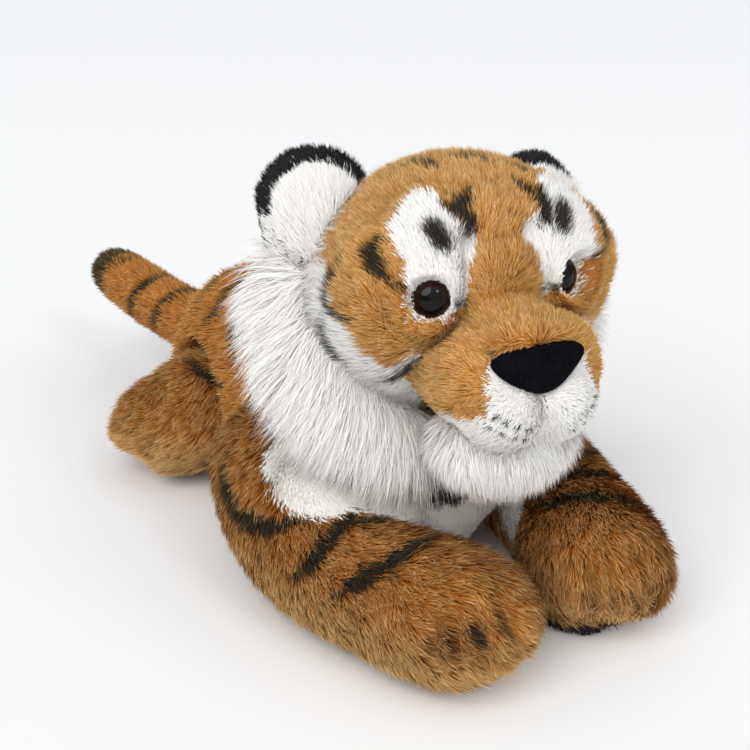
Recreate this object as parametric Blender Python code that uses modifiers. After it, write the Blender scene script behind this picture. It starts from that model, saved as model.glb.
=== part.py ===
"""Plush tiger lying on its belly, built from the stuffed forms and fittings that it is sewn from.

Units are metres. The tiger faces -Y, its left side is +X and the floor is the plane z = 0, with the
origin under the middle of the belly. Every stuffed form is a coarse cage rounded by subdivision, and
a smaller form is cut by the larger one that it is sewn to, with the seam's clearance between them.
"""
import math

import bmesh
import bpy
from mathutils import Euler, Matrix, Vector

# Sizes that the whole toy shares
SEAM_GAP = 0.0003
FLOOR_FLAT = 0.0005
CUT_OVERRUN = 0.02
UP = Vector((0, 0, 1))
RIGHT_AND_LEFT = (("right", -1), ("left", 1))

# Torso, from the chest to the rump
TORSO_FRONT = 0.094
TORSO_BACK = 0.121
TORSO_WIDTH = 0.102
TORSO_HEIGHT = 0.110
TORSO_SIDES = 12
# Rows from chest to rump: place along the torso, width, height, lift of the underside off the floor
torso_shares = (
    (0.00, 0.36, 0.38, 0.33),
    (0.05, 0.70, 0.68, 0.17),
    (0.15, 0.92, 0.90, 0.04),
    (0.30, 1.00, 1.01, -0.008),
    (0.48, 0.95, 0.97, -0.008),
    (0.66, 0.97, 0.98, -0.008),
    (0.83, 0.95, 0.97, -0.008),
    (0.94, 0.72, 0.74, 0.11),
    (1.00, 0.36, 0.38, 0.29),
)

# Pale short-pile panel on the chest
CHEST_PANEL_WIDTH = 0.060
CHEST_PANEL_HEIGHT = 0.070
CHEST_PANEL_SWELL = 0.044
CHEST_PANEL_PROUD = 0.006
CHEST_PANEL_RISE = 0.047

# Tail, sewn to the rump
TAIL_LENGTH = 0.123
TAIL_THICKNESS = 0.035
TAIL_HEIGHT = 0.051
TAIL_ROOT_INSET = 0.007
TAIL_BALL_SHARE = 0.54
TAIL_SIDES = 8
# Rows from root to tip: place along the tail, drift to the tiger's left, rise, thickness
tail_shares = (
    (-0.18, 0.00, 0.000, 0.72),
    (-0.11, 0.00, 0.000, 1.00),
    (-0.01, 0.00, 0.000, 1.01),
    (0.08, 0.00, -0.006, 0.95),
    (0.22, -0.01, -0.018, 0.97),
    (0.46, -0.05, -0.010, 0.97),
    (0.70, -0.09, 0.025, 0.95),
    (0.90, -0.12, 0.060, 0.90),
    (0.98, -0.13, 0.072, 0.62),
    (1.00, -0.13, 0.075, 0.30),
)

# Forelegs, which lie on the floor in front of the chest with their paws turned in
SHOULDER_SPAN = 0.100
SHOULDER_BACK = 0.070
SHOULDER_HEIGHT = 0.048
SHOULDER_BALL = 0.0325
FORELEG_REACH = 0.149
FORELEG_BOW = 0.026
FORELEG_THICKNESS = 0.066
FORELEG_SIDES = 10
FORELEG_TURN = {"right": math.radians(0), "left": math.radians(-3)}
# Rows from shoulder to toes: place along the leg, bow outwards, lift, width, height
foreleg_shares = (
    (-0.20, -0.08, 0.72, 0.44, 0.44),
    (-0.11, -0.05, 0.47, 0.82, 0.82),
    (0.02, 0.07, 0.30, 1.00, 1.00),
    (0.20, 0.42, 0.08, 0.99, 0.97),
    (0.40, 0.50, 0.00, 0.92, 0.89),
    (0.58, 0.25, 0.00, 0.88, 0.85),
    (0.75, -0.12, -0.02, 0.96, 0.89),
    (0.90, -0.42, -0.03, 0.96, 0.88),
    (0.98, -0.60, 0.03, 0.70, 0.66),
    (1.00, -0.66, 0.15, 0.36, 0.36),
)

# Pale panel along the inner side of each upper foreleg
ARM_PANEL_WIDTH = 0.046
ARM_PANEL_SWELL = 0.032
ARM_PANEL_SIDES = 10
# Rows from the outside of the shoulder to the chest: place along the foreleg, place inwards and
# height as shares of its thickness, then the panel's own width and swell
arm_panel_shares = (
    (0.22, -0.40, 0.88, 0.40, 0.40),
    (0.25, -0.26, 0.92, 0.84, 0.80),
    (0.30, -0.06, 0.90, 1.00, 1.00),
    (0.36, 0.14, 0.80, 0.96, 1.00),
    (0.42, 0.34, 0.66, 0.80, 0.90),
    (0.46, 0.48, 0.58, 0.40, 0.45),
)

# Black soles under the paws
FORE_SOLE_WIDTH = 0.038
FORE_SOLE_LENGTH = 0.054
FORE_SOLE_SWELL = 0.014
FORE_SOLE_PLACE_SHARE = 0.76
FORE_SOLE_INWARD = 0.005
HIND_SOLE_WIDTH = 0.030
HIND_SOLE_LENGTH = 0.030
HIND_SOLE_SWELL = 0.012
HIND_SOLE_PLACE_SHARE = 0.28
SOLE_RISE = 0.002
SOLE_SEGMENTS = 14
SOLE_RINGS = 6

# Hind legs, folded out to the sides of the rump
HIP_SPAN = 0.080
HIP_FORWARD = 0.055
HIP_HEIGHT = 0.042
HIP_BALL = 0.0326
HIND_REACH = 0.034
HIND_DRIFT = 0.020
HIND_THICKNESS = 0.058
HIND_SIDES = 10
# Rows from hip to toes: place outwards, drift to the rear, lift, width, height
hind_leg_shares = (
    (-0.80, 0.00, 0.52, 0.48, 0.48),
    (-0.52, 0.00, 0.34, 0.86, 0.86),
    (-0.05, 0.04, 0.20, 1.08, 1.07),
    (0.26, 0.34, 0.02, 1.03, 1.01),
    (0.56, 0.76, -0.07, 0.94, 0.94),
    (0.82, 0.95, -0.08, 0.85, 0.84),
    (0.96, 1.00, 0.02, 0.58, 0.58),
    (1.00, 1.00, 0.13, 0.28, 0.28),
)

# Neck seam: a flat cut through the torso's top, square to the axis that the head turns about
NECK_TILT = math.radians(25.5)
NECK_ALONG_SHARE = 0.168
NECK_RISE_SHARE = 0.884
NECK_TO_HEAD = 0.051

# Head, held slightly to the tiger's right
HEAD_WIDTH = 0.131
HEAD_HEIGHT = 0.114
HEAD_DEPTH = 0.092
HEAD_FACE_SHARE = 0.52
HEAD_YAW = math.radians(-7.5)
HEAD_PITCH = math.radians(-3)
HEAD_SIDES = 12
# Rows from face to nape: place along the head, width, height, rise of the centre
head_shares = (
    (0.00, 0.20, 0.20, -0.14),
    (0.05, 0.44, 0.42, -0.14),
    (0.14, 0.68, 0.66, -0.10),
    (0.25, 0.88, 0.86, -0.04),
    (0.40, 1.00, 0.98, 0.02),
    (0.60, 0.98, 1.00, 0.04),
    (0.80, 0.78, 0.82, 0.04),
    (0.94, 0.48, 0.50, 0.04),
    (1.00, 0.22, 0.23, 0.04),
)

# Muzzle, a bridge that widens towards the mouth
MUZZLE_WIDTH = 0.070
MUZZLE_HEIGHT = 0.056
MUZZLE_PROUD = 0.02516
MUZZLE_DROP = 0.017
MUZZLE_TOP_TAPER_SHARE = 0.30
MUZZLE_SIDES = 10
# Rows from inside the head to the tip: place from the head's centre to the tip, width, height,
# extra drop
muzzle_shares = (
    (0.34, 1.00, 1.04, -0.04),
    (0.58, 0.99, 0.98, 0.00),
    (0.80, 0.88, 0.84, 0.05),
    (0.95, 0.62, 0.58, 0.08),
    (1.00, 0.32, 0.30, 0.08),
)

# White whisker pads under the nose, one on each side of the lip seam
WHISKER_PAD_WIDTH = 0.031
WHISKER_PAD_DEPTH = 0.032
WHISKER_PAD_HEIGHT = 0.032
WHISKER_PAD_APART = 0.023
WHISKER_PAD_PROUD = 0.01716
WHISKER_PAD_DROP = 0.032

# Long-pile chin
CHIN_WIDTH = 0.066
CHIN_DEPTH = 0.044
CHIN_HEIGHT = 0.042
CHIN_INSET = 0.00084
CHIN_DROP = 0.052

# Velour nose
NOSE_WIDTH = 0.045
NOSE_HEIGHT = 0.027
NOSE_DEPTH = 0.014
NOSE_PROUD = 0.01816
NOSE_DROP = 0.0145
NOSE_TILT = math.radians(-12)
# Outline seen from the front, then the rings from back to front: place in depth and size
nose_outline_shares = (
    (0.00, 0.72), (0.55, 0.68), (0.94, 0.52), (0.98, 0.22), (0.66, -0.25), (0.28, -0.80),
    (-0.28, -0.80), (-0.66, -0.25), (-0.98, 0.22), (-0.94, 0.52), (-0.55, 0.68),
)
nose_ring_shares = ((0.0, 0.96), (0.45, 1.06), (0.85, 0.88), (1.0, 0.45))

# Safety eyes: a domed head on a ridged shank, held behind the cloth by a washer
EYE_DIAMETER = 0.015
EYE_DOME = 0.0052
EYE_RIM = 0.0010
SHANK_RADIUS = 0.0023
SHANK_LENGTH = 0.0125
RIDGE_RADIUS = 0.0028
RIDGE_COUNT = 3
RIDGE_PITCH = 0.0021
WASHER_RADIUS = 0.0078
WASHER_THICKNESS = 0.0012
WASHER_COLLAR_RADIUS = 0.0046
WASHER_COLLAR_HEIGHT = 0.0014
WASHER_DEPTH = 0.0042
EYE_APART = 0.0600
EYE_INSET = 0.00954
EYE_RISE = 0.0106
EYE_OUTWARD = math.radians(25)
EYE_UPWARD = math.radians(6)
EYE_STEPS = 14

# White brow patches, which run down round the eyes
BROW_WIDTH = 0.034
BROW_HEIGHT = 0.060
BROW_SWELL = 0.020
BROW_APART = 0.059
BROW_INSET = 0.01234
BROW_RISE = 0.0255
BROW_OUTWARD = math.radians(23)
BROW_LEAN = math.radians(-24)

# Ears: a cupped black back and a white front seated in it
EAR_WIDTH = 0.052
EAR_HEIGHT = 0.056
EAR_THICKNESS = 0.020
EAR_APART = 0.108
EAR_INSET = 0.02816
EAR_RISE = 0.034
EAR_FRONT_SHARE = 0.80
EAR_FRONT_STEP = 0.0055
EAR_FRONT_THICKNESS = 0.013
EAR_LEAN_BACK = math.radians(-18)
EAR_TURN_OUT = math.radians(12)
EAR_DROP = {"right": 0.0, "left": 0.014}
EAR_SEGMENTS = 16
EAR_RINGS = 8

# Long-pile ruff behind the cheeks, from under each ear to the chin
RUFF_RADIUS_ACROSS = 0.067
RUFF_RADIUS_UP = 0.062
RUFF_THICKNESS = 0.032
RUFF_SPREAD = 0.038
RUFF_INSET = 0.02416
RUFF_SWEEP = 0.036
RUFF_FROM = math.radians(26)
RUFF_TO = math.radians(-76)
RUFF_ROWS = 6
RUFF_SIDES = 8

# Pads that are simple swollen lenses
PAD_SEGMENTS = 14
PAD_RINGS = 8
BALL_SEGMENTS = 18
BALL_RINGS = 8

# Colours and surface of each cloth and fitting
FINISHES = {
    "orange_plush": ((0.52, 0.22, 0.055), 0.90),
    "white_plush": ((0.86, 0.85, 0.83), 0.90),
    "cream_plush": ((0.83, 0.80, 0.74), 0.90),
    "black_plush": ((0.025, 0.024, 0.023), 0.90),
    "black_velour": ((0.012, 0.012, 0.013), 0.85),
    "eye_plastic": ((0.035, 0.014, 0.008), 0.08),
    "washer_plastic": ((0.75, 0.75, 0.72), 0.45),
}


def clear_scene():
    """Remove every object of the scene that the script starts in."""
    for old in list(bpy.data.objects):
        bpy.data.objects.remove(old, do_unlink=True)


def new_collection(name):
    """Add a collection under the scene's own one."""
    group = bpy.data.collections.new(name)
    bpy.context.scene.collection.children.link(group)
    return group


def new_finish(name):
    """Make one Principled material from its row in FINISHES."""
    colour, roughness = FINISHES[name]
    finish = bpy.data.materials.new(name)
    finish.use_nodes = True
    shader = finish.node_tree.nodes["Principled BSDF"]
    shader.inputs["Base Color"].default_value = (*colour, 1)
    shader.inputs["Roughness"].default_value = roughness
    shader.inputs["Metallic"].default_value = 0
    finish.diffuse_color = (*colour, 1)
    return finish


def new_axis(name, location, rotation, parent=None):
    """Add an empty that holds a joint's axis or a local frame."""
    axis = bpy.data.objects.new(name, None)
    axis.matrix_basis = Matrix.Translation(location) @ rotation.to_matrix().to_4x4()
    axis.parent = parent
    axis.empty_display_size = SHANK_LENGTH
    PIECES.objects.link(axis)
    return axis


def add_piece(name, mesh, finish, parent=None):
    """Add a mesh as a named piece of the toy, or as a cutter where it has no finish."""
    piece = bpy.data.objects.new(name, mesh)
    piece.parent = parent
    if finish is None:
        CUTTERS.objects.link(piece)
        piece.hide_render = True
        piece.display_type = "WIRE"
    else:
        PIECES.objects.link(piece)
        mesh.materials.append(finish)
    mesh.shade_smooth()
    return piece


def round_off(piece, levels):
    """Round a coarse cage with Subdivision Surface."""
    modifier = piece.modifiers.new("rounding", "SUBSURF")
    modifier.levels = levels
    modifier.render_levels = levels


def cut(piece, *cutters):
    """Cut a piece by each cutter in turn."""
    for cutter in cutters:
        modifier = piece.modifiers.new("cut by " + cutter.name, "BOOLEAN")
        modifier.operation = "DIFFERENCE"
        modifier.solver = "EXACT"
        modifier.object = cutter


def cage_mesh(name, rings):
    """Loft faces through rings of points and close both ends."""
    bm = bmesh.new()
    loops = [[bm.verts.new(point) for point in ring] for ring in rings]
    for near, far in zip(loops, loops[1:]):
        for i, corner in enumerate(near):
            j = (i + 1) % len(near)
            bm.faces.new((corner, near[j], far[j], far[i]))
    bm.faces.new(list(reversed(loops[0])))
    bm.faces.new(loops[-1])
    bmesh.ops.recalc_face_normals(bm, faces=bm.faces[:])
    mesh = bpy.data.meshes.new(name)
    bm.to_mesh(mesh)
    bm.free()
    return mesh


def stuffed_form(name, rows, sides, finish, parent=None, grow=0.0, top_taper=0.0):
    """Loft a stuffed form along a path and round it once.

    Each row holds a centre, a half width and a half height. The rings stand square to the path and
    are widened by what the rounding takes off them. A clearance copy grows by its gap all over.
    """
    rounding_loss = (3 + math.cos(2 * math.pi / sides)) / 4
    last = len(rows) - 1
    rings = []
    for i, (centre, half_width, half_height) in enumerate(rows):
        along = (Vector(rows[min(i + 1, last)][0]) - Vector(rows[max(i - 1, 0)][0])).normalized()
        across = along.cross(UP).normalized()
        upward = across.cross(along)
        middle = Vector(centre) + along * grow * ((i == last) - (i == 0))
        ring = []
        for k in range(sides):
            angle = 2 * math.pi * k / sides
            narrowing = 1 - top_taper * math.sin(angle)
            wide = (half_width * narrowing + grow) * math.cos(angle) / rounding_loss
            high = (half_height + grow) * math.sin(angle) / rounding_loss
            ring.append(middle + across * wide + upward * high)
        rings.append(ring)
    piece = add_piece(name, cage_mesh(name, rings), finish, parent)
    round_off(piece, 1)
    return piece


def swollen_pad(name, radii, centre, rotation, finish, parent=None, grow=0.0,
                segments=PAD_SEGMENTS, rings=PAD_RINGS):
    """Make a swollen lens from a unit sphere that is scaled to its three half sizes."""
    bm = bmesh.new()
    bmesh.ops.create_uvsphere(bm, u_segments=segments, v_segments=rings, radius=1)
    bmesh.ops.scale(bm, vec=[radius + grow for radius in radii], verts=bm.verts[:])
    mesh = bpy.data.meshes.new(name)
    bm.to_mesh(mesh)
    bm.free()
    piece = add_piece(name, mesh, finish, parent)
    piece.location = centre
    piece.rotation_euler = rotation
    return piece


def block(name, size, centre, parent=None):
    """Make a box cutter from a unit cube."""
    bm = bmesh.new()
    bmesh.ops.create_cube(bm, size=1)
    bmesh.ops.scale(bm, vec=size, verts=bm.verts[:])
    mesh = bpy.data.meshes.new(name)
    bm.to_mesh(mesh)
    bm.free()
    box = add_piece(name, mesh, None, parent)
    box.location = centre
    return box


def turned(name, profile, finish, parent, closed=False):
    """Turn a profile of radius and height, listed from top to bottom on its outer side."""
    bm = bmesh.new()
    points = [bm.verts.new((radius, 0, height)) for radius, height in profile]
    for upper, lower in zip(points, points[1:]):
        bm.edges.new((upper, lower))
    if closed:
        bm.edges.new((points[-1], points[0]))
    mesh = bpy.data.meshes.new(name)
    bm.to_mesh(mesh)
    bm.free()
    piece = add_piece(name, mesh, finish, parent)
    screw = piece.modifiers.new("turning", "SCREW")
    screw.steps = EYE_STEPS
    screw.render_steps = EYE_STEPS
    screw.use_merge_vertices = True
    screw.merge_threshold = SEAM_GAP / 10
    screw.use_smooth_shade = True
    return piece


clear_scene()
PIECES = new_collection("plush_tiger")
CUTTERS = new_collection("cutters")
finishes = {name: new_finish(name) for name in FINISHES}
orange = finishes["orange_plush"]
white = finishes["white_plush"]
cream = finishes["cream_plush"]
black = finishes["black_plush"]
level = Euler((0, 0, 0))

# The floor cuts each resting form flat
torso_length = TORSO_FRONT + TORSO_BACK
floor_size = 3 * torso_length
floor = block("floor_cut", (floor_size, floor_size, CUT_OVERRUN), (0, 0, -CUT_OVERRUN / 2))


def resting_height(lift, half_height):
    """Height of a ring's centre whose underside is lifted off the floor's flat."""
    return lift + half_height - FLOOR_FLAT


# Torso
def torso_rows():
    rows = []
    for along, width, height, lift in torso_shares:
        half_height = TORSO_HEIGHT / 2 * height
        centre_z = resting_height(TORSO_HEIGHT * lift, half_height)
        rows.append(((0, along * torso_length - TORSO_FRONT, centre_z), TORSO_WIDTH / 2 * width, half_height))
    return rows


torso = stuffed_form("torso", torso_rows(), TORSO_SIDES, orange)
torso_clearance = stuffed_form("torso_clearance", torso_rows(), TORSO_SIDES, None, grow=SEAM_GAP)

# The chest panel lies over the front of the torso
chest_radii = (CHEST_PANEL_WIDTH / 2, CHEST_PANEL_SWELL / 2, CHEST_PANEL_HEIGHT / 2)
chest_centre = (0, CHEST_PANEL_SWELL / 2 - TORSO_FRONT - CHEST_PANEL_PROUD, CHEST_PANEL_RISE)
chest_panel = swollen_pad("chest_panel", chest_radii, chest_centre, level, cream)
chest_clearance = swollen_pad("chest_clearance", chest_radii, chest_centre, level, None, grow=SEAM_GAP)
cut(chest_panel, torso_clearance)

# Neck seam: the torso ends under it and all that turns with the head stays over it
neck_place = (0, NECK_ALONG_SHARE * torso_length - TORSO_FRONT, NECK_RISE_SHARE * TORSO_HEIGHT)
neck_axis = new_axis("head_turn_axis", neck_place, Euler((NECK_TILT, 0, 0)))
neck_size = (torso_length, torso_length, torso_length)
above_neck = block("above_neck", neck_size, (0, 0, torso_length / 2 - SEAM_GAP / 2), neck_axis)
below_neck = block("below_neck", neck_size, (0, 0, SEAM_GAP / 2 - torso_length / 2), neck_axis)
cut(torso, above_neck, floor)


def seat_root(piece, pivot, ball, name):
    """Seat a limb's ball-shaped root in a socket of the torso, which clears it at every angle."""
    clearing = ball / math.cos(math.pi / BALL_SEGMENTS)
    socket = swollen_pad(name + "_socket", (clearing, clearing, clearing), pivot, level, None, grow=SEAM_GAP,
                         segments=BALL_SEGMENTS, rings=BALL_RINGS)
    root = swollen_pad(name + "_root", (ball, ball, ball), pivot, level, None,
                       segments=BALL_SEGMENTS, rings=BALL_RINGS)
    outside = stuffed_form(name + "_outside", torso_rows(), TORSO_SIDES, None, grow=SEAM_GAP)
    cut(outside, root)
    cut(torso, socket)
    cut(piece, outside)
    return outside


# Tail
tail_pivot = Vector((0, TORSO_BACK - TAIL_ROOT_INSET, TAIL_HEIGHT))
tail_axis = new_axis("tail_axis", tail_pivot, level)
tail_rows = [
    ((TAIL_LENGTH * side, TAIL_LENGTH * along, TAIL_LENGTH * rise),
     TAIL_THICKNESS / 2 * thick, TAIL_THICKNESS / 2 * thick)
    for along, side, rise, thick in tail_shares
]
tail = stuffed_form("tail", tail_rows, TAIL_SIDES, orange, tail_axis)
seat_root(tail, tail_pivot, TAIL_THICKNESS * TAIL_BALL_SHARE, "tail")

# Hind legs
for side_name, side in RIGHT_AND_LEFT:
    hip = Vector((side * HIP_SPAN / 2, TORSO_BACK - HIP_FORWARD, HIP_HEIGHT))
    hip_axis = new_axis("hip_axis_" + side_name, hip, level)
    rows = []
    for out, drift, lift, width, height in hind_leg_shares:
        half_height = HIND_THICKNESS / 2 * height
        centre_z = resting_height(HIP_HEIGHT * lift, half_height) - HIP_HEIGHT
        rows.append(((side * HIND_REACH * out, HIND_DRIFT * drift, centre_z),
                     HIND_THICKNESS / 2 * width, half_height))
    leg = stuffed_form("hind_leg_" + side_name, rows, HIND_SIDES, orange, hip_axis)
    sole_radii = (HIND_SOLE_LENGTH / 2, HIND_SOLE_WIDTH / 2, HIND_SOLE_SWELL / 2)
    sole_place = (side * HIND_REACH * HIND_SOLE_PLACE_SHARE, HIND_DRIFT, SOLE_RISE - HIP_HEIGHT)
    sole = swollen_pad("hind_sole_" + side_name, sole_radii, sole_place, level, black, hip_axis,
                       segments=SOLE_SEGMENTS, rings=SOLE_RINGS)
    sole_clearance = swollen_pad("hind_sole_clearance_" + side_name, sole_radii, sole_place, level, None,
                                 hip_axis, SEAM_GAP, SOLE_SEGMENTS, SOLE_RINGS)
    seat_root(leg, hip, HIP_BALL, "hip_" + side_name)
    cut(leg, sole_clearance, floor)
    cut(sole, floor)

# Forelegs, with the pale inner panels and the soles
for side_name, side in RIGHT_AND_LEFT:
    shoulder = Vector((side * SHOULDER_SPAN / 2, SHOULDER_BACK - TORSO_FRONT, SHOULDER_HEIGHT))
    turn = Euler((0, 0, FORELEG_TURN[side_name]))
    shoulder_axis = new_axis("shoulder_axis_" + side_name, shoulder, turn)
    rows = []
    for along, bow, lift, width, height in foreleg_shares:
        half_height = FORELEG_THICKNESS / 2 * height
        centre_z = resting_height(SHOULDER_HEIGHT * lift, half_height) - SHOULDER_HEIGHT
        rows.append(((side * FORELEG_BOW * bow, -FORELEG_REACH * along, centre_z),
                     FORELEG_THICKNESS / 2 * width, half_height))
    leg = stuffed_form("foreleg_" + side_name, rows, FORELEG_SIDES, orange, shoulder_axis)
    leg_clearance = stuffed_form("foreleg_clearance_" + side_name, rows, FORELEG_SIDES, None, shoulder_axis,
                                 grow=SEAM_GAP)
    sole_radii = (FORE_SOLE_WIDTH / 2, FORE_SOLE_LENGTH / 2, FORE_SOLE_SWELL / 2)
    sole_inward = FORELEG_BOW * foreleg_shares[7][1] - FORE_SOLE_INWARD
    sole_place = (side * sole_inward, -FORELEG_REACH * FORE_SOLE_PLACE_SHARE, SOLE_RISE - SHOULDER_HEIGHT)
    sole = swollen_pad("fore_sole_" + side_name, sole_radii, sole_place, level, black, shoulder_axis,
                       segments=SOLE_SEGMENTS, rings=SOLE_RINGS)
    sole_clearance = swollen_pad("fore_sole_clearance_" + side_name, sole_radii, sole_place, level, None,
                                 shoulder_axis, SEAM_GAP, SOLE_SEGMENTS, SOLE_RINGS)
    outside = seat_root(leg, shoulder, SHOULDER_BALL, "shoulder_" + side_name)
    cut(leg, sole_clearance, floor)
    cut(sole, floor)

    panel_rows = []
    for along, inward, rise, width, swell in arm_panel_shares:
        place = (-side * FORELEG_THICKNESS * inward, -FORELEG_REACH * along,
                 FORELEG_THICKNESS * rise - SHOULDER_HEIGHT)
        panel_rows.append((place, ARM_PANEL_WIDTH / 2 * width, ARM_PANEL_SWELL / 2 * swell))
    panel = stuffed_form("arm_panel_" + side_name, panel_rows, ARM_PANEL_SIDES, cream, shoulder_axis)
    cut(panel, leg_clearance, outside, chest_clearance, floor)

# Head: what sits on the face or the nape takes its place from that end of it
face_end = HEAD_DEPTH * HEAD_FACE_SHARE
nape_end = HEAD_DEPTH * (1 - HEAD_FACE_SHARE)
untilt = Euler((-NECK_TILT, 0, 0)).to_matrix()
carriage = Euler((HEAD_PITCH, 0, HEAD_YAW)).to_matrix()
head_frame = new_axis("head_frame", (0, 0, NECK_TO_HEAD), (untilt @ carriage).to_euler(), neck_axis)
head_rows = [
    ((0, HEAD_DEPTH * (along - HEAD_FACE_SHARE), HEAD_HEIGHT / 2 * rise),
     HEAD_WIDTH / 2 * width, HEAD_HEIGHT / 2 * height)
    for along, width, height, rise in head_shares
]
head = stuffed_form("head", head_rows, HEAD_SIDES, orange, head_frame)
head_clearance = stuffed_form("head_clearance", head_rows, HEAD_SIDES, None, head_frame, grow=SEAM_GAP)
cut(head, below_neck)

# Nose, whose outline is kept and let into the muzzle and the whisker pads


def nose_form(name, finish, grow=0.0):
    rings = []
    for depth, size in nose_ring_shares:
        ring = []
        for across, upward in nose_outline_shares:
            reach = Vector((across * (NOSE_WIDTH / 2), 0, upward * (NOSE_HEIGHT / 2))) * size
            ring.append(reach + reach.normalized() * grow - Vector((0, NOSE_DEPTH * depth + grow, 0)))
        rings.append(ring)
    for corner in rings[0]:
        corner.y += 2 * grow
    piece = add_piece(name, cage_mesh(name, rings), finish, head_frame)
    piece.location = (0, -face_end - NOSE_PROUD, -NOSE_DROP)
    piece.rotation_euler = (NOSE_TILT, 0, 0)
    round_off(piece, 1)
    return piece


nose = nose_form("nose", finishes["black_velour"])
nose_clearance = nose_form("nose_clearance", None, 2 * SEAM_GAP)

# Muzzle
muzzle_reach = face_end + MUZZLE_PROUD
muzzle_rows = [
    ((0, -muzzle_reach * along, -MUZZLE_DROP - MUZZLE_HEIGHT * drop),
     MUZZLE_WIDTH / 2 * width, MUZZLE_HEIGHT / 2 * height)
    for along, width, height, drop in muzzle_shares
]
muzzle = stuffed_form("muzzle", muzzle_rows, MUZZLE_SIDES, orange, head_frame,
                      top_taper=MUZZLE_TOP_TAPER_SHARE)
muzzle_clearance = stuffed_form("muzzle_clearance", muzzle_rows, MUZZLE_SIDES, None, head_frame, SEAM_GAP,
                                MUZZLE_TOP_TAPER_SHARE)
cut(muzzle, head_clearance, nose_clearance)

# Whisker pads meet at the lip seam
pad_radii = (WHISKER_PAD_WIDTH / 2, WHISKER_PAD_DEPTH / 2, WHISKER_PAD_HEIGHT / 2)
pad_forward = face_end + WHISKER_PAD_PROUD
pad_clearances = []
for side_name, side in RIGHT_AND_LEFT:
    place = (side * WHISKER_PAD_APART / 2, -pad_forward, -WHISKER_PAD_DROP)
    pad = swollen_pad("whisker_pad_" + side_name, pad_radii, place, level, white, head_frame)
    pad_clearances.append(swollen_pad("pad_clearance_" + side_name, pad_radii, place, level, None,
                                      head_frame, SEAM_GAP))
    lip_seam = block("lip_seam_" + side_name, (WHISKER_PAD_WIDTH, HEAD_WIDTH, HEAD_HEIGHT),
                     (side * (SEAM_GAP - WHISKER_PAD_WIDTH) / 2, -pad_forward, 0), head_frame)
    cut(pad, head_clearance, muzzle_clearance, nose_clearance, lip_seam)

# Chin
chin_radii = (CHIN_WIDTH / 2, CHIN_DEPTH / 2, CHIN_HEIGHT / 2)
chin_place = (0, CHIN_INSET - face_end, -CHIN_DROP)
chin = swollen_pad("chin_beard", chin_radii, chin_place, level, white, head_frame)
chin_clearance = swollen_pad("chin_clearance", chin_radii, chin_place, level, None, head_frame, SEAM_GAP)
cut(chin, head_clearance, muzzle_clearance, *pad_clearances)

# Safety eyes and their washers
eye_radius = EYE_DIAMETER / 2
dome_steps = 3
dome = [
    (eye_radius * math.sin(math.pi / 2 * k / dome_steps), EYE_DOME * math.cos(math.pi / 2 * k / dome_steps))
    for k in range(dome_steps + 1)
]
ridges = []
for k in range(RIDGE_COUNT):
    top = -WASHER_DEPTH - WASHER_THICKNESS - WASHER_COLLAR_HEIGHT - RIDGE_PITCH * k / 2
    ridges += [(SHANK_RADIUS, top), (RIDGE_RADIUS, top - RIDGE_PITCH / 4), (SHANK_RADIUS, top - RIDGE_PITCH / 2.2)]
shank_end = -SHANK_LENGTH - EYE_RIM
eye_profile = dome + [(eye_radius, -EYE_RIM), (SHANK_RADIUS, -EYE_RIM)] + ridges
eye_profile += [(SHANK_RADIUS, shank_end), (0, shank_end)]
bore = RIDGE_RADIUS + SEAM_GAP
washer_top = -WASHER_DEPTH
washer_back = washer_top - WASHER_THICKNESS
collar_back = washer_back - WASHER_COLLAR_HEIGHT
washer_profile = [
    (bore, washer_top), (WASHER_RADIUS, washer_top), (WASHER_RADIUS, washer_back),
    (WASHER_COLLAR_RADIUS, washer_back), (WASHER_COLLAR_RADIUS, collar_back), (bore, collar_back),
]
seat_radius = eye_radius + SEAM_GAP
seat_floor = -EYE_RIM - SEAM_GAP
eye_cut_profile = [
    (0, EYE_DOME + CUT_OVERRUN), (seat_radius, EYE_DOME + CUT_OVERRUN), (seat_radius, seat_floor),
    (bore, seat_floor), (bore, washer_top + SEAM_GAP), (WASHER_RADIUS + SEAM_GAP, washer_top + SEAM_GAP),
    (WASHER_RADIUS + SEAM_GAP, washer_back - SEAM_GAP),
    (WASHER_COLLAR_RADIUS + SEAM_GAP, washer_back - SEAM_GAP),
    (WASHER_COLLAR_RADIUS + SEAM_GAP, collar_back - SEAM_GAP), (bore, collar_back - SEAM_GAP),
    (bore, shank_end - SEAM_GAP), (0, shank_end - SEAM_GAP),
]
face_forward = Euler((math.pi / 2, 0, 0)).to_matrix()
for side_name, side in RIGHT_AND_LEFT:
    look = Euler((-EYE_UPWARD, 0, side * EYE_OUTWARD)).to_matrix() @ face_forward
    eye_frame = new_axis("eye_frame_" + side_name, (side * EYE_APART / 2, EYE_INSET - face_end, EYE_RISE),
                         look.to_euler(), head_frame)
    turned("eye_" + side_name, eye_profile, finishes["eye_plastic"], eye_frame)
    turned("eye_washer_" + side_name, washer_profile, finishes["washer_plastic"], eye_frame, closed=True)
    eye_cut = turned("eye_cut_" + side_name, eye_cut_profile, None, eye_frame)
    cut(head, eye_cut)

    # The brow patch runs down round the eye
    brow_radii = (BROW_WIDTH / 2, BROW_SWELL / 2, BROW_HEIGHT / 2)
    brow = swollen_pad("brow_patch_" + side_name, brow_radii,
                       (side * BROW_APART / 2, BROW_INSET - face_end, BROW_RISE),
                       (BROW_LEAN, 0, side * BROW_OUTWARD), white, head_frame)
    cut(brow, head_clearance, muzzle_clearance, eye_cut)

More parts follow.
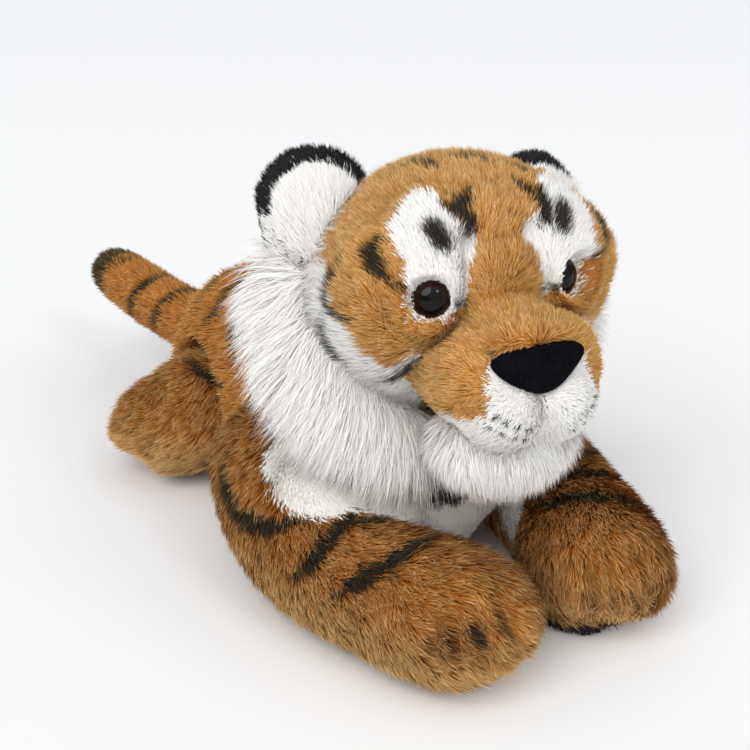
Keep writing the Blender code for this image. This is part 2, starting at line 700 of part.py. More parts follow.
# Ears
ear_radii = (EAR_WIDTH / 2, EAR_THICKNESS / 2, EAR_HEIGHT / 2)
ear_front_radii = (ear_radii[0] * EAR_FRONT_SHARE, EAR_FRONT_THICKNESS / 2, ear_radii[2] * EAR_FRONT_SHARE)
ear_clearances = {}
for side_name, side in RIGHT_AND_LEFT:
    ear_frame = new_axis("ear_frame_" + side_name,
                         (side * EAR_APART / 2, nape_end - EAR_INSET, EAR_RISE - EAR_DROP[side_name]),
                         Euler((EAR_LEAN_BACK, 0, side * EAR_TURN_OUT)), head_frame)
    front_place = (0, -EAR_FRONT_STEP, 0)
    front = swollen_pad("ear_front_" + side_name, ear_front_radii, front_place, level, white, ear_frame)
    front_clearance = swollen_pad("ear_front_clearance_" + side_name, ear_front_radii, front_place, level,
                                  None, ear_frame, SEAM_GAP)
    back = swollen_pad("ear_back_" + side_name, ear_radii, (0, 0, 0), level, black, ear_frame,
                       segments=EAR_SEGMENTS, rings=EAR_RINGS)
    back_clearance = swollen_pad("ear_back_clearance_" + side_name, ear_radii, (0, 0, 0), level, None,
                                 ear_frame, SEAM_GAP, EAR_SEGMENTS, EAR_RINGS)
    ear_clearances[side_name] = (back_clearance, front_clearance)
    cut(front, head_clearance)
    cut(back, head_clearance, front_clearance)

# Ruff
for side_name, side in RIGHT_AND_LEFT:
    rows = []
    for k in range(RUFF_ROWS):
        share = k / (RUFF_ROWS - 1)
        angle = RUFF_FROM + (RUFF_TO - RUFF_FROM) * share
        fullness = math.sin(math.pi * (0.08 + 0.84 * share)) ** 0.5
        rows.append((
            (side * RUFF_RADIUS_ACROSS * math.cos(angle), nape_end - RUFF_INSET - RUFF_SWEEP * share,
             RUFF_RADIUS_UP * math.sin(angle)),
            RUFF_SPREAD / 2 * fullness, RUFF_THICKNESS / 2 * fullness,
        ))
    ruff = stuffed_form("ruff_" + side_name, rows, RUFF_SIDES, white, head_frame)
    cut(ruff, below_neck, head_clearance, *ear_clearances[side_name])
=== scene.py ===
import math

import bmesh
import bpy
import numpy as np
from mathutils import Euler, Matrix, Vector
from mathutils.bvhtree import BVHTree


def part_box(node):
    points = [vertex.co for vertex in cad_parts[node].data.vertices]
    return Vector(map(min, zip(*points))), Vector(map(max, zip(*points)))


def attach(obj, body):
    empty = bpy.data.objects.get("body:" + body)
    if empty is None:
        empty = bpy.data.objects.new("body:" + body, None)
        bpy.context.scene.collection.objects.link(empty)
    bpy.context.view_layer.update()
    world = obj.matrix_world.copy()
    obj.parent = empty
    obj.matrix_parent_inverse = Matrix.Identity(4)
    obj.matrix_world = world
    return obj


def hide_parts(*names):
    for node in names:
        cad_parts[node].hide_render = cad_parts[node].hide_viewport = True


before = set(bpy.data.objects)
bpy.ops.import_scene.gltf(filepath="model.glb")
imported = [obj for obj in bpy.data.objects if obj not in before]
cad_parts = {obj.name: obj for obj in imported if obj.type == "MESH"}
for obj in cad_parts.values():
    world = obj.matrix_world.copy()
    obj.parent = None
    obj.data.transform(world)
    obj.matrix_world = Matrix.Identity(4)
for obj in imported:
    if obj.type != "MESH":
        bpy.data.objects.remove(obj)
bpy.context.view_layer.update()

scene = bpy.context.scene

# Camera. The photograph looks down on the tiger's right shoulder from in front, through a long lens
# that is rolled by one degree.
CAMERA_AZIMUTH = math.radians(-35)
CAMERA_ELEVATION = math.radians(24)
CAMERA_ROLL = math.radians(1.0)
CAMERA_DISTANCE = 0.742
CAMERA_TARGET = Vector((0.017, -0.002, 0.068))
CAMERA_LENS = 72

backward = Vector((math.sin(CAMERA_AZIMUTH) * math.cos(CAMERA_ELEVATION),
                   -math.cos(CAMERA_AZIMUTH) * math.cos(CAMERA_ELEVATION), math.sin(CAMERA_ELEVATION)))
rightward = Vector((math.cos(CAMERA_AZIMUTH), math.sin(CAMERA_AZIMUTH), 0))
camera_turn = Matrix((rightward, backward.cross(rightward), backward)).transposed().to_4x4()
camera_data = bpy.data.cameras.new("photo_camera")
camera_data.lens = CAMERA_LENS
camera = bpy.data.objects.new("photo_camera", camera_data)
camera.matrix_world = (Matrix.Translation(CAMERA_TARGET + backward * CAMERA_DISTANCE) @ camera_turn
                       @ Matrix.Rotation(CAMERA_ROLL, 4, "Z"))
scene.collection.objects.link(camera)
scene.camera = camera

# Studio. A wide sheet of bluish white paper carries the tiger, and soft lamps and a pale room light
# it at a level at which a colour shows about as it is written.
FLOOR_SIZE = 8.0
FLOOR_NEAR_COLOUR = (0.93, 0.935, 0.935)
FLOOR_FAR_SHADED_COLOUR = (0.86, 0.875, 0.89)
ROOM_COLOUR = (0.98, 0.985, 1.0)
ROOM_LOW = 0.31
ROOM_TOP = 0.42
# The floor turns from its near to its darker far colour in this direction, between these distances, as painted
# falloff of the light
FADE_DIRECTION = (0.57, 0.82, 0)
FADE_START, FADE_END = -0.25, 1.4
# Lamps: strength, softness in degrees, and turn. The last is small and only makes the eyes' glint.
LAMPS = {
    "key_lamp": (1.75, 45, (math.radians(50), 0, math.radians(-62))),
    "fill_lamp": (0.80, 90, (math.radians(62), 0, math.radians(5))),
    "glint_lamp": (0.30, 12, (math.radians(53.5), 0, math.radians(1.2))),
}


class Wire:
    """A socket in a node tree. Arithmetic on it adds the nodes, and node() adds any other kind."""

    def __init__(self, tree, socket=None):
        self.tree = tree
        self.socket = socket

    def node(self, kind, settings=None, values=None, output=0):
        """Adds a node with these settings, and these values or wires at its inputs."""
        made = self.tree.nodes.new(kind)
        for name, value in (settings or {}).items():
            setattr(made, name, value)
        for key, value in (values or {}).items():
            if isinstance(value, Wire):
                self.tree.links.new(value.socket, made.inputs[key])
            else:
                if made.inputs[key].type == "RGBA" and len(value) == 3:
                    value = (*value, 1)
                made.inputs[key].default_value = value
        return Wire(self.tree, made.outputs[output])

    def _many(self, value):
        """True where a value has three parts."""
        if isinstance(value, Wire):
            return value.socket.type in ("VECTOR", "RGBA")
        return isinstance(value, (tuple, Vector))

    def _work(self, operation, first, second):
        many = self._many(first), self._many(second)
        if not any(many):
            return self.node("ShaderNodeMath", {"operation": operation}, {0: first, 1: second})
        if operation == "MULTIPLY" and not all(many):
            vector, number = (first, second) if many[0] else (second, first)
            return self.node("ShaderNodeVectorMath", {"operation": "SCALE"}, {0: vector, 3: number})
        pair = [v if m or isinstance(v, Wire) else (v, v, v) for v, m in zip((first, second), many)]
        return self.node("ShaderNodeVectorMath", {"operation": operation}, {0: pair[0], 1: pair[1]})

    def __add__(self, other): return self._work("ADD", self, other)
    def __radd__(self, other): return self._work("ADD", other, self)
    def __sub__(self, other): return self._work("SUBTRACT", self, other)
    def __rsub__(self, other): return self._work("SUBTRACT", other, self)
    def __mul__(self, other): return self._work("MULTIPLY", self, other)
    def __rmul__(self, other): return self._work("MULTIPLY", other, self)
    def __truediv__(self, other): return self._work("DIVIDE", self, other)
    def __rtruediv__(self, other): return self._work("DIVIDE", other, self)
    def __mod__(self, other): return self._work("MODULO", self, other)

    def attribute(self, name, output=2):
        return self.node("ShaderNodeAttribute", {"attribute_name": name}, output=output)

    def own_place(self):
        return self.node("ShaderNodeTexCoord", output=3)

    def noise(self, place, scale, detail=2.0, output=0):
        return self.node("ShaderNodeTexNoise", {}, {"Vector": place, "Scale": scale, "Detail": detail}, output)

    def random_vector(self, seed, which=None):
        """A random vector with parts from -1 to 1, of its own for each number in which."""
        values = {0: (-1.0, -1.0, -1.0), 1: (1.0, 1.0, 1.0), 8: seed}
        if which:
            values[7] = which
        return self.node("FunctionNodeRandomValue", {"data_type": "FLOAT_VECTOR"}, values)

    def joined(self, x=0.0, y=0.0, z=0.0):
        return self.node("ShaderNodeCombineXYZ", {}, {0: x, 1: y, 2: z})

    def math(self, operation, second=0.0):
        return self.node("ShaderNodeMath", {"operation": operation}, {0: self, 1: second})

    def vector(self, operation, second=(0, 0, 0), output=0):
        return self.node("ShaderNodeVectorMath", {"operation": operation}, {0: self, 1: second}, output)

    def dot(self, other):
        return self.vector("DOT_PRODUCT", other, 1)

    def across(self, other):
        """Square to the plane of both, with a length of 1."""
        return self.vector("CROSS_PRODUCT", other).vector("NORMALIZE")

    def squared_to(self, way):
        """What is left of a vector without its part along another."""
        return self - way * self.dot(way)

    def part(self, index):
        return self.node("ShaderNodeSeparateXYZ", {}, {0: self}, index)

    def rise(self, low, high):
        """0 below low, 1 above high, and a smooth rise between."""
        return self.node("ShaderNodeMapRange", {"interpolation_type": "SMOOTHSTEP"},
                         {0: self, 1: low, 2: high, 3: 0.0, 4: 1.0})

    def between(self, low, high):
        """Mixes two colours, with this value as the share of the second."""
        return self.node("ShaderNodeMix", {"data_type": "RGBA"}, {0: self, 6: low, 7: high}, 2)


def new_material(name, roughness, sheen=0.0):
    """A material, its surface node and a start for the wires of its tree."""
    material = bpy.data.materials.new(name)
    material.use_nodes = True
    tree = material.node_tree
    surface = tree.nodes["Principled BSDF"]
    surface.inputs["Roughness"].default_value = roughness
    surface.inputs["Sheen Weight"].default_value = sheen
    return material, surface, Wire(tree)


def feed(wire, surface, socket="Base Color"):
    wire.tree.links.new(wire.socket, surface.inputs[socket])


floor_mesh = bpy.data.meshes.new("paper_floor")
half = FLOOR_SIZE / 2
floor_mesh.from_pydata([(-half, -half, 0), (half, -half, 0), (half, half, 0), (-half, half, 0)],
                       [], [(0, 1, 2, 3)])
floor = bpy.data.objects.new("paper_floor", floor_mesh)
scene.collection.objects.link(floor)
paper, paper_surface, start = new_material("white_paper", 0.9)
# Painted falloff of the light: the paper is darker farther off
painted_falloff = start.own_place().dot(FADE_DIRECTION).rise(FADE_START, FADE_END)
feed(painted_falloff.between(FLOOR_NEAR_COLOUR, FLOOR_FAR_SHADED_COLOUR), paper_surface)
floor_mesh.materials.append(paper)

world = bpy.data.worlds.new("pale_room")
world.use_nodes = True
start = Wire(world.node_tree)
height = start.node("ShaderNodeTexCoord").part(2).math("MAXIMUM", 0.0)
room_light = ROOM_LOW + height * height * ROOM_TOP
feed(ROOM_COLOUR * room_light, world.node_tree.nodes["Background"], "Color")
scene.world = world
for lamp_name, (strength, softness, turn) in LAMPS.items():
    lamp_data = bpy.data.lights.new(lamp_name, "SUN")
    lamp_data.energy = strength
    lamp_data.angle = math.radians(softness)
    lamp = bpy.data.objects.new(lamp_name, lamp_data)
    lamp.rotation_euler = turn
    scene.collection.objects.link(lamp)
scene.view_settings.view_transform = "Standard"

# Torso. A stuffed body of orange long-pile plush, closed over its filling, with a pale short-pile
# panel let into the chest. The pile is combed to the tail, and the stripes are printed on it.
def mm(value):
    """Sizes in millimetres, in nested tuples, as metres."""
    return tuple(mm(v) for v in value) if isinstance(value, tuple) else round(value / 1000, 7)


SIDES = (("right", -1), ("left", 1))
COVER_NET = 0.0022
COVER_INSET = 0.0020
TORSO_PILE = 0.0095
CHEST_PILE = 0.0035
# How far the torso's cover is drawn out round the limbs' roots, and the distances from them at which that
# starts to fade, has faded and isn't measured any more
ROOT_SWELL = 0.0045
ROOT_REACH = (0.003, 0.010, 0.012)
TORSO_STRANDS = {"right": 36000, "left": 32000}
CHEST_STRANDS = 9000
# No other reach to a solid is measured beyond this
FAR = 0.05
# The heights below which no cover and no strand goes
COVER_FLOOR, PILE_FLOOR = 0.0003, 0.0004
# Where a strand's point starts, how far it turns about itself, and how far out it takes up the print
TIP_START, STRAND_TWIST, PRINT_PLACE = 0.99, 1.5, 0.38
# Strands in a row of the baked picture
BAKE_CELLS = 256
# Pile colours: the roots are darker partly as painted shade deep in the pile, and the tips paler partly as
# painted rim light
ORANGE_ROOT = (0.34, 0.095, 0.012)
ORANGE_MIDDLE = (0.48, 0.165, 0.024)
ORANGE_TIP_AND_RIM_LIGHT = (0.93, 0.62, 0.25)
STRIPE_COLOUR = (0.022, 0.017, 0.012)
CREAM_ROOT = (0.92, 0.88, 0.80)
CREAM_TIP = (0.96, 0.94, 0.89)
WHITE_ROOT = (0.92, 0.90, 0.87)
WHITE_TIP = (0.97, 0.955, 0.93)
BLACK_ROOT = (0.008, 0.008, 0.008)
BLACK_MIDDLE = (0.020, 0.020, 0.021)
BLACK_TIP = (0.05, 0.05, 0.052)
# Stripes across the back, right and left: place along the body, slant, and angles from the spine
BACK_STRIPES = (
    (0.008, 0.010, -8, -60), (0.040, 0.006, -6, -32), (0.066, 0.006, -10, -56), (0.092, 0.004, -6, -46),
    (0.014, 0.010, 12, 62), (0.044, 0.006, 10, 50), (0.074, 0.006, 8, 58), (0.100, 0.004, 10, 44),
)
# Half width and soft edge of a stripe, its waviness, and half the back's width, its height and its axis
STRIPE_WIDTH, STRIPE_EDGE, STRIPE_WAVE = 0.0026, 0.0014, 0.003
BACK_WIDTH, BACK_HEIGHT, BACK_AXIS = 0.060, 0.056, 0.055
# Each printed mark: half width, line and, where it isn't the usual one, soft edge
RUMP_STRIPES = mm((
    (3.4, ((-48.1, 69.3, 63.5), (-47.8, 59.4, 62.1), (-44.6, 52.8, 59.4), (-47.2, 34.8, 63.1))),
    (2.2, ((-34.6, 45.8, 89.5), (-40.2, 34.4, 81.4), (-43.2, 32.3, 75.5))),
))
CHEST_TUFT = mm(((9.5, ((-15, -96.5, 50), (-6, -98.1, 56), (4, -98.5, 62)), 3),))


def numbers(mesh, name, field, width, kind):
    """An attribute of a mesh's points as an array of rows."""
    data = mesh.attributes[name].data
    values = np.empty(len(data) * width, dtype=kind)
    data.foreach_get(field, values)
    return values.reshape(-1, width)


def keep_numbers(mesh, name, values):
    """Keeps an array on a mesh's points as an attribute."""
    wide = values.ndim > 1
    if name in mesh.attributes:
        mesh.attributes.remove(mesh.attributes[name])
    made = mesh.attributes.new(name, "FLOAT_VECTOR" if wide else "FLOAT", "POINT")
    made.data.foreach_set("vector" if wide else "value", np.ascontiguousarray(values, dtype=np.float32).ravel())


def unit_rows(rows):
    return rows / np.maximum(np.linalg.norm(rows, axis=1, keepdims=True), 1e-9)


def smooth_rise(values, low, high):
    share = np.clip((values - low) / (high - low), 0, 1)
    return share * share * (3 - 2 * share)


def solid_copy(names):
    """The merged meshes of some CAD solids, as one bmesh."""
    whole = bmesh.new()
    for name in names:
        one = bmesh.new()
        one.from_mesh(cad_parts[name].data)
        bmesh.ops.remove_doubles(one, verts=one.verts, dist=2e-6)
        spare = bpy.data.meshes.new("spare")
        one.to_mesh(spare)
        one.free()
        whole.from_mesh(spare)
        bpy.data.meshes.remove(spare)
    return whole


solid_trees = {}


def solid_tree(name):
    if name not in solid_trees:
        solid = solid_copy([name])
        solid_trees[name] = BVHTree.FromBMesh(solid)
        solid.free()
    return solid_trees[name]


def reach_to(node, points, far=FAR):
    """How far each point is from a CAD solid, and never more than far."""
    found = [solid_tree(node).find_nearest(point, far)[3] for point in points]
    return np.array([far if reach is None else reach for reach in found])


def skin_tree(mesh):
    """A mesh for finding the nearest place on it, or where a line of sight meets it."""
    return BVHTree.FromPolygons([tuple(v.co) for v in mesh.vertices],
                                [tuple(f.vertices) for f in mesh.polygons])


def line_round(node, steps, first_angle, last_angle, spot_at):
    """A line on a CAD solid that runs round it. spot_at gives the place of each step, from the step and
    the sine and cosine of its angle."""
    line = []
    for k in range(steps + 1):
        angle = math.radians(first_angle + (last_angle - first_angle) * k / steps)
        line.append(solid_tree(node).find_nearest(spot_at(k, math.sin(angle), math.cos(angle)))[0])
    return line


def halves(across):
    """How much each place belongs to the right half and to the left half."""
    right_half = (across < 0).astype(float)
    return ("right", right_half), ("left", 1 - right_half)


def moved(marks, place):
    """Marks with each of their spots moved by a function."""
    return tuple((width, tuple(tuple(place(spot)) for spot in line), *soft) for width, line, *soft in marks)


def mirrored(marks):
    return moved(marks, lambda spot: (-spot[0], spot[1], spot[2]))


def along_line(points, step=0.0022):
    """A smooth line through some points, as an array with a point at each step."""
    points = [Vector(p) for p in points]
    ends = [2 * points[0] - points[1]] + points + [2 * points[-1] - points[-2]]
    line = []
    for a, b, c, d in zip(ends, ends[1:], ends[2:], ends[3:]):
        count = max(1, int((c - b).length / step))
        for k in range(count):
            t = k / count
            line.append(0.5 * (2 * b + (c - a) * t + (2 * a - 5 * b + 4 * c - d) * t * t
                               + (3 * b - a - 3 * c + d) * t ** 3))
    line.append(points[-1])
    return np.array(line)


def mark_share(places, marks, edge=0.0013, ragged=0.0005, seed=1):
    """How far each place lies inside the printed marks, from 0 to 1. Long marks taper to their ends."""
    share = np.zeros(len(places))
    wobble = np.random.default_rng(seed).normal(0, ragged, len(places))
    for half_width, line, *soft in marks:
        line = along_line(line)
        soft_edge = soft[0] if soft else edge
        low, high = line.min(0) - half_width - 0.004, line.max(0) + half_width + 0.004
        near = np.where(((places > low) & (places < high)).all(1))[0]
        spot = places[near]
        reach = np.full(len(near), 1.0)
        portion = np.zeros(len(near))
        for k in range(len(line) - 1):
            step = line[k + 1] - line[k]
            t = np.clip(((spot - line[k]) @ step) / max(step @ step, 1e-12), 0, 1)
            away = np.linalg.norm(spot - line[k] - t[:, None] * step, axis=1)
            closer = away < reach
            reach = np.where(closer, away, reach)
            portion = np.where(closer, (k + t) / (len(line) - 1), portion)
        taper = np.clip(np.minimum(portion, 1 - portion) / 0.20, 0.45, 1) if len(line) > 6 else 1
        outside = smooth_rise(reach + wobble[near] - half_width * taper, -soft_edge, soft_edge)
        share[near] = np.maximum(share[near], 1 - outside)
    return share


class Cover:
    """The sewn cover of one body: a fine even net over its solids, let in by the pile's depth, with
    what the pile needs to know at each of its points."""

    def __init__(self, name, body, nodes, cloth, net=COVER_NET, inset=COVER_INSET, ease=4, filled=()):
        """nodes are the solids that the cover replaces. It closes over the filled ones too."""
        finish, material = cloth
        mesh = bpy.data.meshes.new(name)
        solids = solid_copy([*nodes, *filled])
        solids.to_mesh(mesh)
        solids.free()
        self.object = bpy.data.objects.new(name, mesh)
        scene.collection.objects.link(self.object)
        remesh = self.object.modifiers.new("net", "REMESH")
        remesh.mode = "VOXEL"
        remesh.voxel_size = net
        smooth = self.object.modifiers.new("ease", "SMOOTH")
        smooth.factor = 0.5
        smooth.iterations = ease
        made = bpy.data.meshes.new_from_object(self.object.evaluated_get(bpy.context.evaluated_depsgraph_get()))
        self.object.modifiers.clear()
        keep_largest(made)
        made.name = name
        self.mesh = self.object.data = made
        made.shade_smooth()
        self.body, self.nodes = body, nodes
        self.points = np.array([v.co for v in made.vertices])
        self.outward = np.array([n.vector for n in made.vertex_normals])
        self.edges = np.array([e.vertices for e in made.edges])
        self.reach = {node: reach_to(node, self.points) for node in (*nodes, *filled)}
        self.owner = np.array(list(self.reach))[np.array(list(self.reach.values())).argmin(0)]
        self.ones = self.bare = np.ones(len(self.points))
        self.pale = self.black = self.pile = self.ones * 0
        self.comb = self.outward * 0
        self.inset = self.ones * inset
        made.materials.append(material)
        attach(self.object, body)

    def move(self, places):
        self.mesh.vertices.foreach_set("co", places.astype(np.float32).ravel())
        self.mesh.update()

    def even(self, values, rounds):
        """Values evened out over the net."""
        a, b = self.edges[:, 0], self.edges[:, 1]
        count = 1 + np.bincount(a, minlength=len(values)) + np.bincount(b, minlength=len(values))
        for _ in range(rounds):
            columns = values[:, None] if values.ndim == 1 else values
            columns = np.stack([(c + np.bincount(a, c[b], len(c)) + np.bincount(b, c[a], len(c))) / count
                                for c in columns.T], axis=1)
            values = columns[:, 0] if values.ndim == 1 else columns
        return values

    def owned(self, *nodes):
        return np.isin(self.owner, nodes).astype(float)

    def lay_pile(self, comb, pile, rounds=3):
        """Sets the direction that the pile is combed in and its length."""
        flat = comb - self.outward * (comb * self.outward).sum(1)[:, None]
        self.comb = unit_rows(self.even(unit_rows(flat), rounds))
        self.pile = self.even(pile, rounds)

    def clear_of(self, nodes, shallow=0.004, deep=0.009):
        """No pile grows where the cover is deep inside other solids. A point is inside if a line from it to
        the outside crosses their faces an odd number of times."""
        look = Vector((0.31, 0.17, 0.935)).normalized()
        bare = self.bare.copy()
        for node in nodes:
            low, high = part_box(node)
            inside = ((self.points > np.array(low)) & (self.points < np.array(high))).all(1)
            tree = solid_tree(node)
            for k in np.where(inside)[0]:
                away = tree.find_nearest(self.points[k])[3]
                if away is None or away <= shallow:
                    continue
                crossings, spot = 0, Vector(self.points[k])
                while (hit := tree.ray_cast(spot, look)[0]) is not None:
                    crossings, spot = crossings + 1, hit + look * 1e-5
                if crossings % 2:
                    bare[k] = min(bare[k], 1 - min(1, (away - shallow) / (deep - shallow)))
        self.bare = bare

    def swell(self, amount, ease=2):
        """Raises the cover, or draws it in along its seams, and takes its new surface as the sewn form."""
        self.points = self.even(self.points + self.outward * amount[:, None], ease)
        self.move(self.points)
        self.outward = np.array([n.vector for n in self.mesh.vertex_normals])
        self.surface = skin_tree(self.mesh)

    def nearest(self, spot):
        return self.surface.find_nearest(spot)[0]

    def seen(self, spot):
        """A spot measured in the photograph, moved along the camera's line of sight onto the cover."""
        eye = camera.matrix_world.translation
        hit = self.surface.ray_cast(eye, (Vector(spot) - eye).normalized())[0]
        return hit if hit and (hit - Vector(spot)).length < 0.02 else self.nearest(spot)

    def finish(self, marks=(), fill=0.7):
        places = self.points - self.outward * self.inset[:, None]
        places[:, 2] = np.maximum(places[:, 2], COVER_FLOOR)
        self.move(places)
        dark = mark_share(self.points, marks) if marks else np.zeros(len(places))
        for title, values in (("face_place", self.points), ("outward", self.outward), ("comb", self.comb),
                              ("pile", self.pile), ("dark", np.maximum(dark, self.black)), ("pale", self.pale)):
            keep_numbers(self.mesh, title, values)
        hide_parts(*self.nodes)


def keep_largest(mesh):
    """Takes away the bubbles that the net leaves inside a form."""
    net = bmesh.new()
    net.from_mesh(mesh)
    left, largest = set(net.verts), set()
    while left:
        front = [left.pop()]
        group = set(front)
        while front:
            for edge in front.pop().link_edges:
                new = left.intersection(edge.verts)
                left -= new
                group |= new
                front.extend(new)
        largest = max(largest, group, key=len)
    bmesh.ops.delete(net, geom=[v for v in net.verts if v not in largest], context="VERTS")
    net.to_mesh(mesh)
    net.free()


def new_group(name, output, **inputs):
    """An empty geometry tree with named inputs: its wire, the inputs' identifiers and their wires."""
    tree = bpy.data.node_groups.new(name, "GeometryNodeTree")
    names = {}
    for kind, titles in inputs.items():
        for title in titles:
            names[title] = tree.interface.new_socket(
                name=title, in_out="INPUT", socket_type="NodeSocket" + kind).identifier
    tree.interface.new_socket(name=output, in_out="OUTPUT", socket_type="NodeSocketGeometry")
    given = tree.nodes.new("NodeGroupInput")
    return Wire(tree), names, {title: Wire(tree, given.outputs[title]) for title in names}


def end_group(start, geometry, finish):
    made = start.node("GeometryNodeSetMaterial", {}, {"Geometry": geometry, "Material": finish})
    start.tree.links.new(made.socket, start.tree.nodes.new("NodeGroupOutput").inputs[0])


def grown_mesh(name, mesh, group, values):
    """The plain mesh that a geometry tree grows on a mesh. The first mesh is used up."""
    start, names, _ = group
    ground = bpy.data.objects.new(name + "_ground", mesh)
    scene.collection.objects.link(ground)
    grower = ground.modifiers.new("grower", "NODES")
    grower.node_group = start.tree
    for title, value in values.items():
        grower[names[title]] = value
    made = bpy.data.meshes.new_from_object(ground.evaluated_get(bpy.context.evaluated_depsgraph_get()))
    bpy.data.objects.remove(ground)
    bpy.data.meshes.remove(mesh)
    made.name = name
    return made


def new_piece(name, mesh, body, finish):
    """A piece that rides on a body. Its finish is not used."""
    piece = bpy.data.objects.new(name, mesh)
    scene.collection.objects.link(piece)
    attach(piece, body)
    return piece


def pile_group():
    """Grows pile on a cover: flat strands that rise, bend over as they are combed and gather in tufts."""
    group = start, _, take = new_group(
        "plush_pile", "Pile", Geometry=["Cover"], Material=["Finish"], Int=["Joints", "Seed"],
        Float=["Strand Density", "Strand Width", "Root Lean", "Tip Lean", "Lean Spread", "Stray", "Swirl",
               "Tuft Size", "Tuft Pull", "Length Spread", "Droop", "Shade Spread"])

    def read(name, kind="FLOAT"):
        return start.node("GeometryNodeInputNamedAttribute", {"data_type": kind}, {"Name": name})

    def store(geometry, name, value, kind="FLOAT", domain="POINT"):
        return start.node("GeometryNodeStoreNamedAttribute", {"data_type": kind, "domain": domain},
                          {"Geometry": geometry, "Name": name, "Value": value})

    # Roots are strewn over the cover, and each gets a blade, one unit long and wide, with a point at its tip
    place = start.node("GeometryNodeInputPosition")
    density = take["Strand Density"] * read("share")
    roots = start.node("GeometryNodeDistributePointsOnFaces", {"distribute_method": "RANDOM"},
                       {"Mesh": take["Cover"], "Density": density, "Seed": take["Seed"]})
    roots = store(roots, "root", place, "FLOAT_VECTOR")
    roots = store(roots, "strand", start.node("GeometryNodeInputIndex"), "INT")

    blade = start.node("GeometryNodeMeshGrid", {}, {
        "Size X": 1.0, "Size Y": 1.0, "Vertices X": 2, "Vertices Y": take["Joints"]})
    along = place.part(1) + 0.5
    blade = store(blade, "along", along)
    blade = store(blade, "across", place.part(0))
    is_tip = along.math("GREATER_THAN", TIP_START)
    blade = start.node("GeometryNodeSetPosition", {}, {
        "Geometry": blade, "Selection": is_tip, "Position": start.joined(y=0.5)})
    blade = start.node("GeometryNodeMergeByDistance", {}, {"Geometry": blade, "Distance": 0.001})
    strands = start.node("GeometryNodeInstanceOnPoints", {}, {"Points": roots, "Instance": blade})
    strands = start.node("GeometryNodeRealizeInstances", {}, {0: strands})

    # Each strand has its own way to lie, length and lean. It rises, bends over and droops to its tip.
    strand = read("strand", "INT")

    def chance(offset):
        return start.node("FunctionNodeRandomValue", {"data_type": "FLOAT"},
                          {7: strand, 8: take["Seed"] + offset}, 1)

    root, outward, comb = (read(name, "FLOAT_VECTOR") for name in ("root", "outward", "comb"))
    along, across = read("along"), read("across")
    swirl = start.noise(root, 45, 1, 1) - (0.5, 0.5, 0.5)
    loose = start.random_vector(take["Seed"] + 11, strand)
    lay = comb + swirl * take["Swirl"] + loose * take["Stray"]
    lay = lay.squared_to(outward).vector("NORMALIZE")
    length = read("pile") * (1 - take["Length Spread"] * chance(1))
    lean = chance(2) - 0.5
    root_lean = take["Root Lean"] + lean * take["Lean Spread"]
    tip_lean = take["Tip Lean"] + lean * take["Lean Spread"]
    lower = along.math("MINIMUM", 0.5)
    upper = (along - 0.5).math("MAXIMUM", 0.0)
    rise = root_lean.math("COSINE") * lower + tip_lean.math("COSINE") * upper
    reach = root_lean.math("SINE") * lower + tip_lean.math("SINE") * upper
    tuft = start.node("ShaderNodeTexVoronoi", {}, {"Vector": root, "Scale": 1 / take["Tuft Size"]}, 2)
    gather = (tuft - root).squared_to(outward) * take["Tuft Pull"]
    bend = along * along
    spine = root + (outward * rise + lay * reach) * length + gather * bend
    spine = spine - start.joined(z=take["Droop"] * bend * length)
    side = lay.across(outward)
    twist = (chance(3) - 0.5) * STRAND_TWIST
    side = side * twist.math("COSINE") + outward * twist.math("SINE")
    width = take["Strand Width"] * (0.7 + chance(4) * 0.6) * (1.05 - along * along * 0.55)
    body = 1 - along.math("GREATER_THAN", TIP_START)
    spot = spine + side * (across * width * body)
    spot = start.joined(spot.part(0), spot.part(1), spot.part(2).math("MAXIMUM", PILE_FLOOR))
    strands = start.node("GeometryNodeSetPosition", {}, {"Geometry": strands, "Position": spot})
    strands = start.node("GeometryNodeSetShadeSmooth", {}, {0: strands})
    # The strands take light as round hairs would, and know their tone, what is printed at their middle
    # and a place of their own in a baked picture
    uneven_light = side * across * 0.9 + lay * ((chance(5) - 0.4) * 0.9) + loose * 0.25
    facing = (outward * 0.85 + uneven_light * take["Shade Spread"]).vector("NORMALIZE")
    strands = start.node("GeometryNodeSetMeshNormal", {"mode": "FREE", "domain": "POINT"},
                         {"Mesh": strands, "Custom Normal": facing})
    strands = store(strands, "tone", chance(6))
    printed_at = read("face_place", "FLOAT_VECTOR") + comb * (read("pile") * PRINT_PLACE)
    strands = store(strands, "spot", printed_at, "FLOAT_VECTOR")
    column = strand % BAKE_CELLS
    row = (strand / BAKE_CELLS).math("FLOOR")
    bake_place = start.joined((column + 0.5 + across * 0.8) / BAKE_CELLS,
                              (row + 0.08 + along * 0.84) / BAKE_CELLS)
    strands = store(strands, "OFBake", bake_place, "FLOAT2", "CORNER")
    end_group(start, strands, take["Finish"])
    return group


plush_pile = pile_group()


